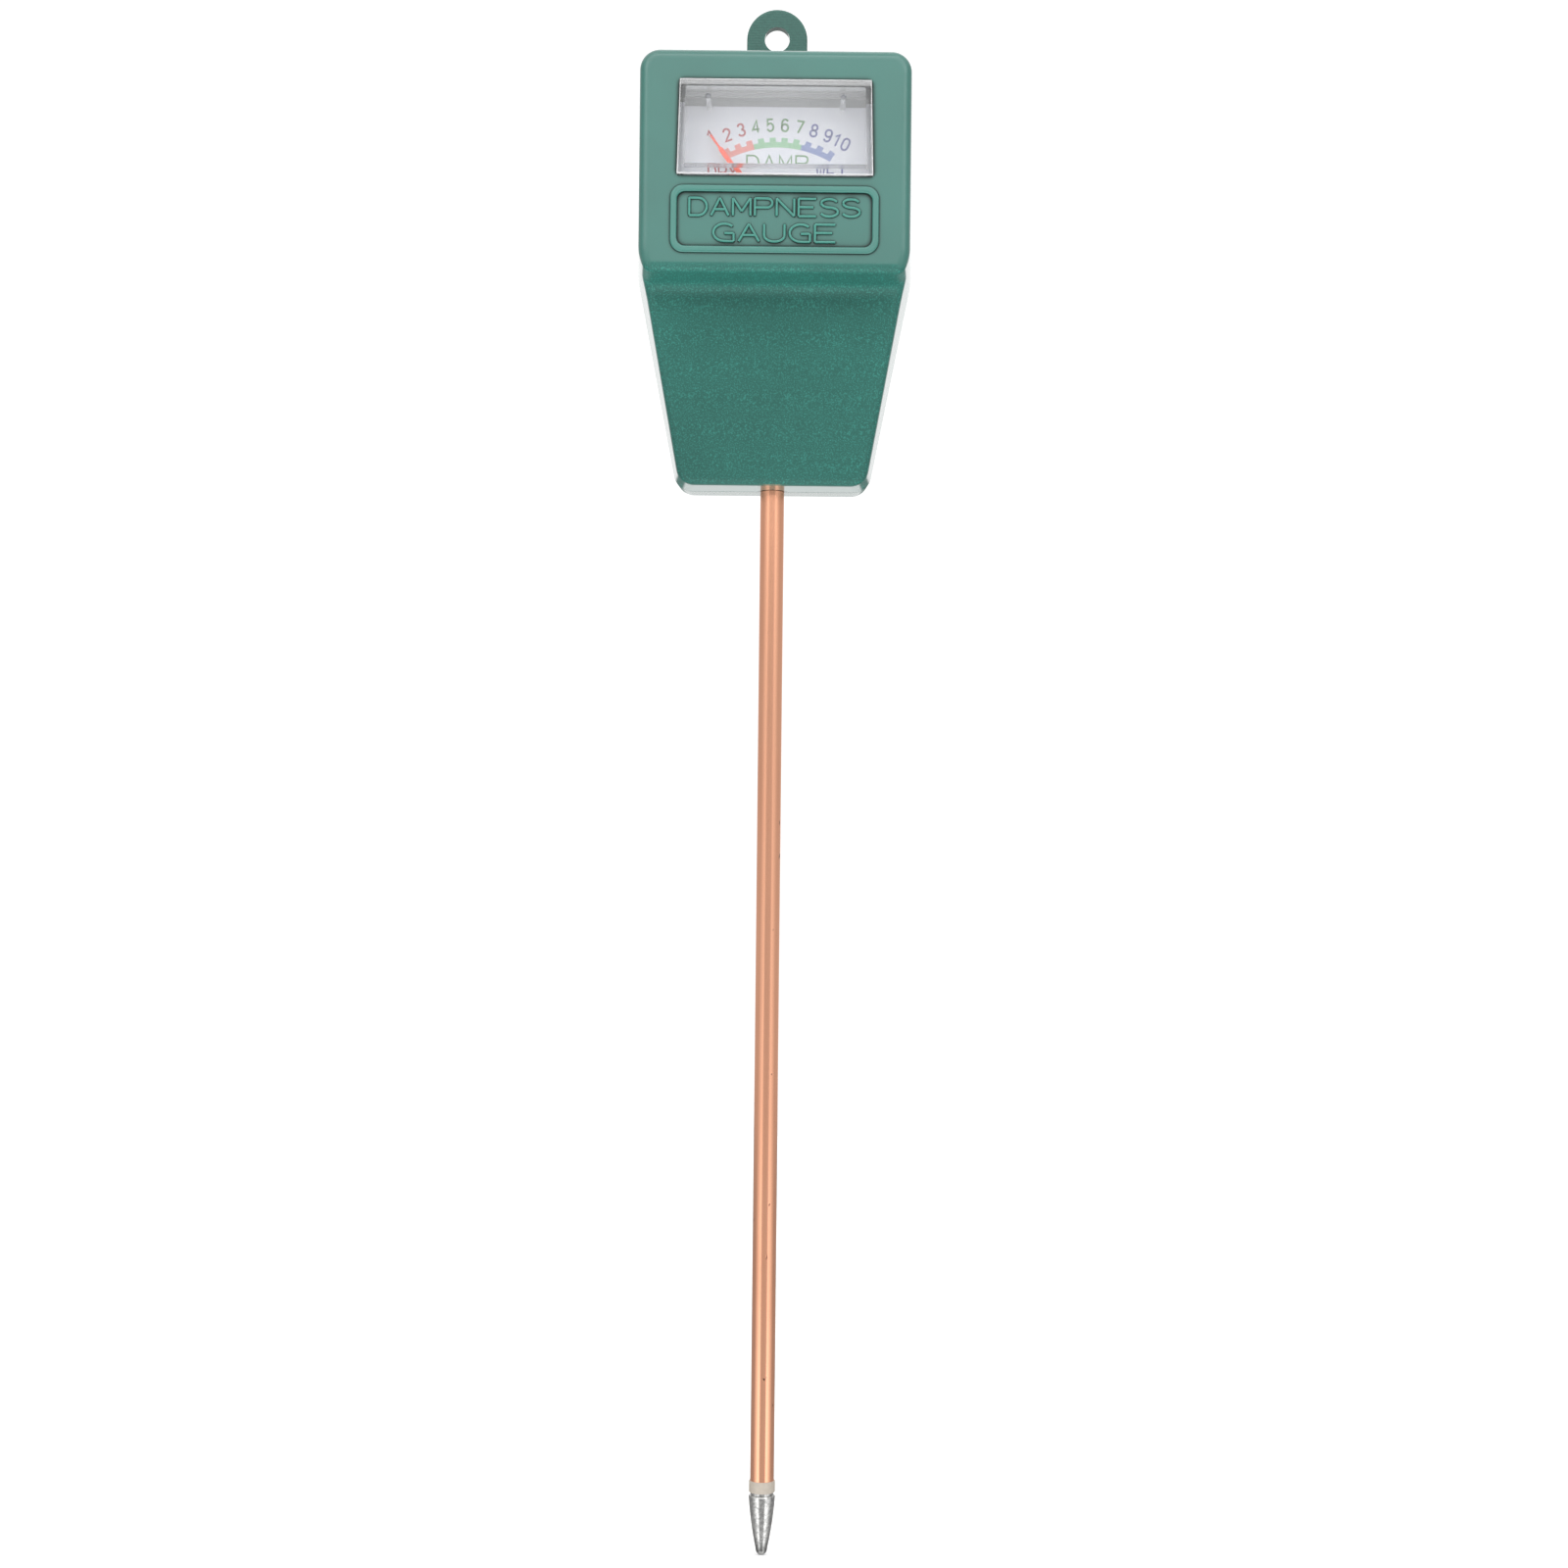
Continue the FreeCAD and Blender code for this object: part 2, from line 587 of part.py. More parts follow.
def pointer():
    """Hub, tapered blade with a fine end, and tail, turned to the rest angle."""
    back = POINTER_Y + POINTER_THICK
    blade = [
        vec(-POINTER_HALF, POINTER_Y, PIVOT_Z),
        vec(-POINTER_HALF, POINTER_Y, PIVOT_Z + POINTER_NECK),
        vec(-POINTER_TIP_HALF, POINTER_Y, PIVOT_Z + POINTER_NECK + POINTER_TAPER),
        vec(-POINTER_TIP_HALF, POINTER_Y, PIVOT_Z + POINTER_LENGTH),
        vec(POINTER_TIP_HALF, POINTER_Y, PIVOT_Z + POINTER_LENGTH),
        vec(POINTER_TIP_HALF, POINTER_Y, PIVOT_Z + POINTER_NECK + POINTER_TAPER),
        vec(POINTER_HALF, POINTER_Y, PIVOT_Z + POINTER_NECK),
        vec(POINTER_HALF, POINTER_Y, PIVOT_Z),
    ]
    arm = Part.Face(Part.makePolygon(blade + blade[:1])).extrude(vec(0, POINTER_THICK, 0))
    tail = box(-POINTER_HALF, POINTER_HALF, POINTER_Y, back, PIVOT_Z - POINTER_TAIL, PIVOT_Z)
    hub_y = (POINTER_Y + back - HUB_LENGTH) / 2
    hub = rod(0, PIVOT_Z, HUB_RADIUS, hub_y, hub_y + HUB_LENGTH)
    return fused([arm, tail, hub]).cut(rod(0, PIVOT_Z, SHAFT_RADIUS, POINTER_Y - 1, back + 1))


def balance_weight(upright_pointer):
    """Block clipped round the tail, as long as balances the pointer about the axis."""
    blade = upright_pointer.Solids[0]
    moment = (blade.CenterOfMass.z - PIVOT_Z) * blade.Volume * POINTER_DENSITY
    half = POINTER_HALF + WEIGHT_SIDE
    reach = POINTER_THICK / 2 + WEIGHT_REACH
    section = 4 * half * reach - 2 * POINTER_HALF * POINTER_THICK
    length = moment / (section * WEIGHT_AT * WEIGHT_DENSITY)
    top = PIVOT_Z - WEIGHT_AT + length / 2
    middle = POINTER_Y + POINTER_THICK / 2
    block = box(-half, half, middle - reach, middle + reach, top - length, top)
    slot = box(-POINTER_HALF, POINTER_HALF, POINTER_Y, POINTER_Y + POINTER_THICK,
               top - length - 1, top + 1)
    return block.cut(slot)


def stop_spots():
    """(x, z) of the two pins that end the pointer's swing."""
    offset = math.degrees(math.asin((POINTER_HALF + STOP_RADIUS + STOP_GAP) / STOP_AT))
    angles = (POINTER_REST_DEG - offset, POINTER_REST_DEG + POINTER_SWING_DEG + offset)
    return [(STOP_AT * math.sin(math.radians(a)), PIVOT_Z + STOP_AT * math.cos(math.radians(a)))
            for a in angles]


def pointer_stops():
    return Part.makeCompound([rod(x, z, STOP_RADIUS, POINTER_Y - 0.5, PLATE_BACK)
                              for x, z in stop_spots()])


def bridge_legs():
    """Legs of the front bridge; the right one runs on through the plate as a solder tag."""
    half = FRONT_BRIDGE_HALF_Z
    legs = []
    for side, end in ((1, TAG_END_Y), (-1, PLATE_FRONT)):
        inner = side * (BRIDGE_HALF - LEG_THICK)
        low, high = sorted((inner, side * BRIDGE_HALF))
        legs.append(box(low, high, FRONT_BRIDGE_Y, end, PIVOT_Z - half, PIVOT_Z + half))
    return legs


def front_bridge():
    half = FRONT_BRIDGE_HALF_Z
    bar = box(-BRIDGE_HALF, BRIDGE_HALF, FRONT_BRIDGE_Y, FRONT_BRIDGE_Y + BRIDGE_THICK,
              PIVOT_Z - half, PIVOT_Z + half)
    foot = PLATE_FRONT - LEG_THICK
    inner = BRIDGE_HALF - LEG_THICK
    feet = [box(low, high, foot, PLATE_FRONT, PIVOT_Z - half, PIVOT_Z + half)
            for low, high in ((inner, BRIDGE_FOOT_X), (-BRIDGE_FOOT_X, -inner))]
    bridge = fused([bar] + bridge_legs() + feet)
    bearing = rod(0, PIVOT_Z, BEARING_SCREW, FRONT_BRIDGE_Y - 1, FRONT_BRIDGE_Y + 3)
    return bridge.cut([bearing, bridge_screws()])


def rear_bridge():
    half = REAR_BRIDGE_HALF_X
    back = REAR_BRIDGE_Y + BRIDGE_THICK
    bar = box(-half, half, REAR_BRIDGE_Y, back, PIVOT_Z - YOKE_OUT, PIVOT_Z + YOKE_OUT)
    tag = box(REAR_TAG_X, 0, REAR_BRIDGE_Y, back, PIVOT_Z - half, PIVOT_Z + half)
    inner = YOKE_IN + REAR_LEG_GAP
    legs = [box(-half, half, YOKE_BACK, back, PIVOT_Z + low, PIVOT_Z + low + REAR_LEG)
            for low in (inner, -inner - REAR_LEG)]
    anchor = spring_anchor(REAR_SPRING_Y - 0.1, back)
    bridge = fused([bar, tag, anchor] + legs)
    return bridge.cut(rod(0, PIVOT_Z, BEARING_SCREW, REAR_BRIDGE_Y - 1, back + 1))


def bearing_screw(cup_y, way, length):
    """Screw with a conical cup at cup_y; way is the direction from the cup to its slot."""
    body = Part.makeCylinder(BEARING_SCREW, length, vec(0, cup_y, PIVOT_Z), vec(0, way, 0))
    cup = Part.makeCone(CUP_RADIUS, CONE_POINT, CUP_DEPTH, vec(0, cup_y, PIVOT_Z), vec(0, way, 0))
    end = cup_y + way * length
    low_y, high_y = sorted((end - way * DRIVER_SLOT_DEPTH, end + way))
    slot = box(-BEARING_SCREW - 1, BEARING_SCREW + 1, low_y, high_y,
               PIVOT_Z - DRIVER_SLOT_HALF, PIVOT_Z + DRIVER_SLOT_HALF)
    return body.cut([cup, slot])


def spring_anchor(y0, y1):
    """Small block against the outer end of a hairspring."""
    end = SPRING_IN + SPRING_TURNS * SPRING_PITCH
    return box(-end - ANCHOR_OUT, -end + ANCHOR_IN, y0, y1, PIVOT_Z, PIVOT_Z + ANCHOR_HEIGHT)


def hairspring(y):
    """Flat spiral of half circles about two centres, its inner end on a ring round the shaft."""
    step = SPRING_PITCH / 2

    def half_circle(number, shift):
        side = 1 if number % 2 == 0 else -1
        centre = vec(0 if side > 0 else -step, y, PIVOT_Z)
        radius = SPRING_IN + number * step + shift
        start = centre - vec(side * radius, 0, 0)
        middle = centre + vec(0, 0, side * radius)
        end = centre + vec(side * radius, 0, 0)
        return Part.Arc(start, middle, end).toShape()

    edges = []
    for shift in (0, SPRING_STRIP):
        edges += [half_circle(number, shift) for number in range(2 * SPRING_TURNS)]
    outer_end = SPRING_IN + SPRING_TURNS * SPRING_PITCH
    for radius in (SPRING_IN, outer_end):
        inner = vec(-radius, y, PIVOT_Z)
        edges.append(Part.LineSegment(inner, inner - vec(SPRING_STRIP, 0, 0)).toShape())
    strip = Part.Face(Part.Wire(Part.__sortEdges__(edges))).extrude(vec(0, SPRING_HEIGHT, 0))
    ring = rod(0, PIVOT_Z, SPRING_IN - 0.2, y, y + SPRING_HEIGHT)
    link = box(-SPRING_IN - SPRING_STRIP, -SHAFT_RADIUS - 0.1, y, y + SPRING_HEIGHT,
               PIVOT_Z - 0.12, PIVOT_Z + 0.12)
    bore = rod(0, PIVOT_Z, SHAFT_RADIUS + 0.05, y - 1, y + 1)
    return fused([strip, ring, link]).cut(bore)


def zero_arm():
    """Arm gripped round the front bearing screw; its bent end holds the front hairspring."""
    front = FRONT_BRIDGE_Y + BRIDGE_THICK
    back = front + ZERO_ARM_THICK
    ring = rod(0, PIVOT_Z, ZERO_RING, front, back)
    arm = box(-ZERO_ARM_REACH, 0, front, back, PIVOT_Z - CLEARANCE, PIVOT_Z + ANCHOR_HEIGHT)
    anchor = spring_anchor(front, FRONT_SPRING_Y + SPRING_HEIGHT + 0.05)
    return fused([ring, arm, anchor]).cut(rod(0, PIVOT_Z, BEARING_SCREW, front - 1, back + 1))


def copper_tube():
    """Tube swaged down to a neck inside the head, its shoulder against the head's underside."""
    tube = Part.makeCylinder(TUBE_RADIUS, -TUBE_LOW_Z, vec(0, 0, TUBE_LOW_Z))
    neck = Part.makeCylinder(NECK_RADIUS, NECK_TOP_Z + 1, vec(0, 0, -1))
    bore_end = -(TUBE_RADIUS - TUBE_BORE)
    bore = Part.makeCylinder(TUBE_BORE, bore_end - TUBE_LOW_Z + 1, vec(0, 0, TUBE_LOW_Z - 1))
    neck_bore = Part.makeCylinder(NECK_BORE, NECK_TOP_Z + 3, vec(0, 0, -2))
    return fused([tube, neck]).cut([bore, neck_bore])


def insulating_ring():
    """Ring between tube and tip, with a sleeve up into the tube."""
    low = TUBE_LOW_Z - RING_HEIGHT
    ring = Part.makeCylinder(RING_RADIUS, RING_HEIGHT, vec(0, 0, low))
    ring = ring.makeFillet(RING_EDGE, [e for e in ring.Edges if e.BoundBox.ZLength < 1e-4])
    sleeve = Part.makeCylinder(TUBE_BORE, RING_HEIGHT + RING_SLEEVE - 1, vec(0, 0, low + 1))
    bore = Part.makeCylinder(SPIGOT_RADIUS, RING_HEIGHT + RING_SLEEVE + 2, vec(0, 0, low - 1))
    return fused([ring, sleeve]).cut(bore)


def probe_tip():
    """Turned point: blunt nose, full flank, shoulder, and a spigot up into the ring.

    Each bulge is a radius and a distance from the end, or for the shoulder from the top."""
    top = TUBE_LOW_Z - RING_HEIGHT
    end = top - TIP_LENGTH
    neck = TIP_RADIUS - TIP_NECK_DEPTH
    neck_low = vec(neck, 0, top - TIP_NECK_HEIGHT)
    nose = vec(NOSE_RADIUS, 0, end + NOSE_HEIGHT)
    shoulder = vec(TIP_RADIUS, 0, top - TIP_SHOULDER)
    outline = [
        Part.Arc(vec(0, 0, end), vec(NOSE_BULGE[0], 0, end + NOSE_BULGE[1]), nose).toShape(),
        Part.Arc(nose, vec(FLANK_BULGE[0], 0, end + FLANK_BULGE[1]), shoulder).toShape(),
        Part.Arc(shoulder, vec(SHOULDER_BULGE[0], 0, top - SHOULDER_BULGE[1]), neck_low).toShape(),
    ]
    corners = [
        neck_low,
        vec(neck, 0, top),
        vec(SPIGOT_RADIUS, 0, top),
        vec(SPIGOT_RADIUS, 0, spigot_top()),
        vec(0, 0, spigot_top()),
        vec(0, 0, end),
    ]
    outline += [Part.LineSegment(a, b).toShape() for a, b in zip(corners, corners[1:])]
    return Part.Face(Part.Wire(outline)).revolve(vec(0, 0, 0), vec(0, 0, 1), 360)


def spigot_top():
    return TUBE_LOW_Z + SPIGOT_LENGTH


def probe_collar():
    collar = Part.makeCylinder(COLLAR_RADIUS, COLLAR_HEIGHT, vec(0, 0, COLLAR_LOW_Z))
    return collar.cut(Part.makeCylinder(NECK_RADIUS, NECK_TOP_Z))


def tube_strap():
    """Thin band round the tube's neck with a lug for the lead."""
    band = Part.makeCylinder(NECK_RADIUS + STRAP_THICK, STRAP_HEIGHT, vec(0, 0, STRAP_LOW_Z))
    lug = box(-STRAP_REACH, 0, -STRAP_THICK, STRAP_THICK, STRAP_LOW_Z, STRAP_LOW_Z + STRAP_HEIGHT)
    return fused([band, lug]).cut(Part.makeCylinder(NECK_RADIUS, NECK_TOP_Z))


def lead(route):
    """Round wire along straight runs joined by arcs as large as the runs allow."""
    points = [vec(*place) for place in route]
    edges = []
    start = points[0]
    for i in range(1, len(points) - 1):
        point = points[i]
        before = points[i - 1] - point
        after = points[i + 1] - point
        reach = 0.45 * min(before.Length, after.Length)
        before.normalize()
        after.normalize()
        half = before.getAngle(after) / 2
        inward = (before + after).normalize()
        radius = reach * math.tan(half)
        middle = point + inward * (reach / math.cos(half) - radius)
        edges.append(Part.LineSegment(start, point + before * reach).toShape())
        edges.append(Part.Arc(point + before * reach, middle, point + after * reach).toShape())
        start = point + after * reach
    edges.append(Part.LineSegment(start, points[-1]).toShape())
    path = Part.Wire(edges)
    profile = Part.Wire(Part.Circle(points[0], points[1] - points[0], LEAD_RADIUS).toShape())
    return path.makePipeShell([profile], True, False)


def tip_lead():
    tag_x = BRIDGE_HALF - LEG_THICK / 2
    tag_y = TAG_END_Y - TIP_LEAD_OFF_TAG
    return lead([
        (0, 0, spigot_top()),
        *TIP_LEAD_BENDS,
        (tag_x, tag_y, TIP_LEAD_TURN_Z),
        (tag_x, tag_y, PIVOT_Z - FRONT_BRIDGE_HALF_Z),
    ])


def tube_lead():
    tag_y = REAR_BRIDGE_Y + BRIDGE_THICK / 2
    return lead([
        (TUBE_LEAD_START_X, 0, STRAP_LOW_Z + STRAP_HEIGHT),
        TUBE_LEAD_BEND,
        (TUBE_LEAD_X, tag_y, TUBE_LEAD_TURN_Z),
        (TUBE_LEAD_X, tag_y, PIVOT_Z - REAR_BRIDGE_HALF_X),
    ])


def build():
    """Every node's shape by name."""
    upright = pointer()
    weight = balance_weight(upright)
    return {
        "front_shell": front_shell(),
        "rear_shell": rear_shell(),
        "clear_cover": clear_cover(),
        "dial_card": dial_card(),
        "movement_plate": movement_plate(),
        "movement_screws": movement_screws(),
        "case_screws": case_screws(),
        "yoke_ring": yoke_ring(),
        "core_magnet": core_magnet(),
        "core_pins": core_pins(),
        "coil_former": coil_former(),
        "coil_winding": coil_winding(),
        "front_pivot": pivot(coil_end(-1), FRONT_SHAFT_Y),
        "rear_pivot": pivot(coil_end(1), REAR_SHAFT_Y),
        "pointer": at_rest(upright),
        "balance_weight": at_rest(weight),
        "pointer_stops": pointer_stops(),
        "front_bridge": front_bridge(),
        "rear_bridge": rear_bridge(),
        "bridge_screws": bridge_screws(),
        "front_bearing_screw": bearing_screw(FRONT_CUP_Y, -1, FRONT_BEARING_LENGTH),
        "rear_bearing_screw": bearing_screw(REAR_CUP_Y, 1, REAR_BEARING_LENGTH),
        "zero_arm": zero_arm(),
        "front_hairspring": hairspring(FRONT_SPRING_Y),
        "rear_hairspring": hairspring(REAR_SPRING_Y),
        "copper_tube": copper_tube(),
        "insulating_ring": insulating_ring(),
        "probe_tip": probe_tip(),
        "probe_collar": probe_collar(),
        "tube_strap": tube_strap(),
        "tip_lead": tip_lead(),
        "tube_lead": tube_lead(),
    }


os.makedirs("parts", exist_ok=True)
for node, shape in build().items():
    if not shape.isValid():
        print("not valid:", node)
    shape.exportStep("parts/" + node + ".step")
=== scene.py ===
import json
import math

import bpy
from mathutils import Matrix, Vector


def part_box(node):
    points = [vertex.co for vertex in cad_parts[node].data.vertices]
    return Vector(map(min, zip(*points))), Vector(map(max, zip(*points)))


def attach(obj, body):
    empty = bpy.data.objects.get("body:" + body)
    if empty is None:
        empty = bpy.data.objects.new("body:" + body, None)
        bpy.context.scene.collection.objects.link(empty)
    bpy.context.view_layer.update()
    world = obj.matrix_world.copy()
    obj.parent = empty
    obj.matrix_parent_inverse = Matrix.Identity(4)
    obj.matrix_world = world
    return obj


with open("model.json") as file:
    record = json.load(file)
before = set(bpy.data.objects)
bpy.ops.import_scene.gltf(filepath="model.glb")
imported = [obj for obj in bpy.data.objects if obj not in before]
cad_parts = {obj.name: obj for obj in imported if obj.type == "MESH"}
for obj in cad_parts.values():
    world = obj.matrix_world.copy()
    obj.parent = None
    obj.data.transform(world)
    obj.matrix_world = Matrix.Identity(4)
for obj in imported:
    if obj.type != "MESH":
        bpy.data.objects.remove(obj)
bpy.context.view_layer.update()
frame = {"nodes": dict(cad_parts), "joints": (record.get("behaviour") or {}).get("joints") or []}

# Looks of the soil moisture meter. Metres, in the model's own frame: +Z up the probe, -Y out of
# the dial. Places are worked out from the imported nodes' boxes.

MM = 0.001
NODES = frame["nodes"]

card_low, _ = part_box("dial_card")
shell_low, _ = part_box("front_shell")
cover_low, cover_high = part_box("clear_cover")
tip_low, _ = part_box("probe_tip")
PIVOT = Vector(frame["joints"][0]["pos_m"])

# Head. A tone is a factor on the colour; a pair of lengths is where one look blends to the next.
PLAQUE_PROUD = 0.5 * MM
FACE_Y = shell_low.y + PLAQUE_PROUD
PLAQUE_SINK = 0.2 * MM
SATIN_FROM = (35.8 * MM, 37.3 * MM)
# painted light: the lower face is lighter towards the step and darker towards its foot
LOWER_FACE = (5 * MM, 32 * MM)
LOWER_FACE_PAINTED_LIGHT = (0.87, 1.05)
# painted highlight: the most proud parts of the front shell, the plaque frame's crown, are made lighter
CROWN = (FACE_Y - 0.3 * MM, FACE_Y - 0.1 * MM)
CROWN_PAINTED_LIGHT = 1.25
# painted light on faces that turn downwards
UNDERSIDE_PAINTED_LIGHT = 1.22
FOOT_Z = 2.0 * MM
GRAIN_SCALE = 4200
GRAIN_STRETCH = (1, 0.3, 1)
# painted shade in corners and between parts, from ambient occlusion
PAINTED_SHADE_REACH = 1.15 * MM
PAINTED_SHADE_TONE = 0.12
WALL_POLISH = -0.30

# Raised lettering
WORD_HEIGHT = 3.0 * MM
UPPER_WORD = ("DAMPNESS", 15.0 * MM, 44.8 * MM)
LOWER_WORD = ("GAUGE", 10.9 * MM, 40.4 * MM)
WORD_FILL = 0.80
STROKE_RADIUS = 0.24 * MM
STROKE_Y = FACE_Y + PLAQUE_SINK - 0.10 * MM
SHARP_CORNER = math.radians(40)
# painted shade in the lettering's corners
LETTER_PAINTED_SHADE_REACH = 0.5 * MM
LETTER_PAINTED_SHADE_TONE = 0.08

# Probe tip: painted shade darkening its nose
NOSE_SHADE_LENGTH = 4.0 * MM
NOSE_PAINTED_SHADE = 0.22

# Clear cover: the pane's inside and the outside and inside of its roof
PANE_BACK = cover_low.y + 1.5 * MM
ROOF_OUT = cover_high.z - 1.0 * MM
ROOF_IN = ROOF_OUT - 1.05 * MM
FRONT_SPAN = (cover_low.y, cover_low.y + 0.3 * MM)
# its pegs are clearer: how far out, and the heights over which the haze comes back
PEG_SPAN = (13 * MM, 14 * MM)
HAZE_ABOVE = (cover_high.z - 3 * MM, cover_high.z - 2.5 * MM)
HAZE_BELOW = (PIVOT.z + 10 * MM, PIVOT.z + 14 * MM)
# painted highlight lines along the moulded edges: their depths, and how thick the lines are
EDGE_HIGHLIGHT_LINES = (PANE_BACK, cover_high.y - 0.15 * MM)
EDGE_HIGHLIGHT_HALF = (0.08 * MM, 0.18 * MM)
# shares of haze
WALL_HAZE = 0.15
ROOF_HAZE = 0.3
PEG_HAZE = 0.2
ROOF_OUT_HAZE = 0.1
# painted highlight on the bevel and along the moulded edges
EDGE_HIGHLIGHT = 0.55
RIM_HAZE = 0.17
SHADOW_TINT = (0.80, 0.81, 0.82, 1.0)

# Printed scale, about its own centre on the card
ARC_CENTRE = Vector((0.35 * MM, card_low.y, 39.65 * MM))
ARC_IN = 18.8 * MM
ARC_OUT = 19.75 * MM
TOOTH_TOP = 20.5 * MM
TOOTH_HALF = 0.53 * MM
TOOTH_ROOT = 0.1 * MM
TOOTH_FIRST = math.radians(-33.6)
TOOTH_STEP = math.radians(7.94)
DIGIT_RADIUS = 22.7 * MM
DIGIT_STEP = math.radians(6.5)
DIGIT_TILT = 0.86
FIRST_DIGIT_OUT = 0.9 * MM
DIGIT_HEIGHT = 2.4 * MM
DIGIT_WIDTH = 1.45 * MM
DIGIT_STROKE = 0.33 * MM
DIGIT_GAP = 0.2 * MM
INK_LIFT = 0.02 * MM
GREEN_STARTS = 0.3
BLUE_STARTS = 0.5
ZONE_WORDS = (
    ("word_damp", "green_type", "DAMP", -5.7 * MM, 5.7 * MM, 57.0 * MM, 2.5 * MM),
    ("word_dry", "red_type", "DRY", -12.2 * MM, -6.8 * MM, 54.7 * MM, 2.3 * MM),
    ("word_wet", "blue_type", "WET", 6.6 * MM, 12.2 * MM, 54.7 * MM, 2.3 * MM),
)
ZONE_WORD_STROKE = 0.3 * MM
ZONE_WORD_FILL = 0.72
INKS = {
    "red": (0.72, 0.27, 0.24),
    "green": (0.29, 0.52, 0.33),
    "blue": (0.22, 0.27, 0.50),
    "red_type": (0.42, 0.09, 0.10),
    "green_type": (0.16, 0.30, 0.15),
    "blue_type": (0.13, 0.14, 0.34),
}

# Camera
EYE = (2.65 * MM, -505 * MM, -52.5 * MM)
LENS = 64.46
CAMERA_ROLL = math.radians(0.6)

# Floor
FLOOR_BACK = 0.6
FLOOR_HALF = 0.5
FLOOR_REFLECTED = (0.28, 0.28, 0.28)
FLOOR_SEEN = ((0.925, 0.925, 0.925), (0.935, 0.935, 0.935))

# Light by direction: sideways turn from the camera's side in radians, height as a sine
FRONT_POWER = 0.62
SIDE_START = (math.radians(24), math.radians(34))
SIDE_END = (math.radians(36), math.radians(90))
SIDE_LEVEL = 0.25
SIDE_GROWTH = 17.0
SIDE_MOST = 1.6
PANEL_RISE = (0.145, 0.205)
PANEL_FALL = (0.30, 0.65)
PANEL_SIDE = (math.radians(35), math.radians(60))
PANEL_POWER = 2.1
BACK_TURN = (math.radians(140), math.radians(165))
BACK_POWER = 0.5
ZENITH = (0.35, 0.75)
LOW_LIGHT = (-0.90, -0.55)
LOW_SHARE = 3.6
TOP_POWER = 0.4
KEY_POWER = 1.6
KEY_PLACE = (0.0, -0.62, 0.72)
KEY_TARGET = (0, 0, 40 * MM)
KEY_SIZE = (0.6, 0.35)


# ---------------------------------------------------------------- node helpers

NOISE_RANGE = (0.3, 0.7)


class Graph:
    """A node tree and short ways to grow it."""

    def __init__(self, tree):
        self.tree = tree

    def set(self, node, socket, value):
        index = socket[0] == "i" and socket[1:].isdigit()
        target = node.inputs[int(socket[1:])] if index else node.inputs[socket]
        if isinstance(value, bpy.types.NodeSocket):
            self.tree.links.new(value, target)
        else:
            target.default_value = value

    def add(self, kind, **inputs):
        node = self.tree.nodes.new("ShaderNode" + kind)
        for socket, value in inputs.items():
            self.set(node, socket.replace("_", " "), value)
        return node

    def ramp(self, value, low, high, out_low=0.0, out_high=1.0):
        node = self.add("MapRange", Value=value, From_Min=low, From_Max=high, To_Min=out_low, To_Max=out_high)
        node.interpolation_type = "SMOOTHSTEP"
        return node.outputs["Result"]

    def math(self, operation, a, b):
        node = self.tree.nodes.new("ShaderNodeMath")
        node.operation = operation
        self.set(node, "i0", a)
        self.set(node, "i1", b)
        return node.outputs[0]


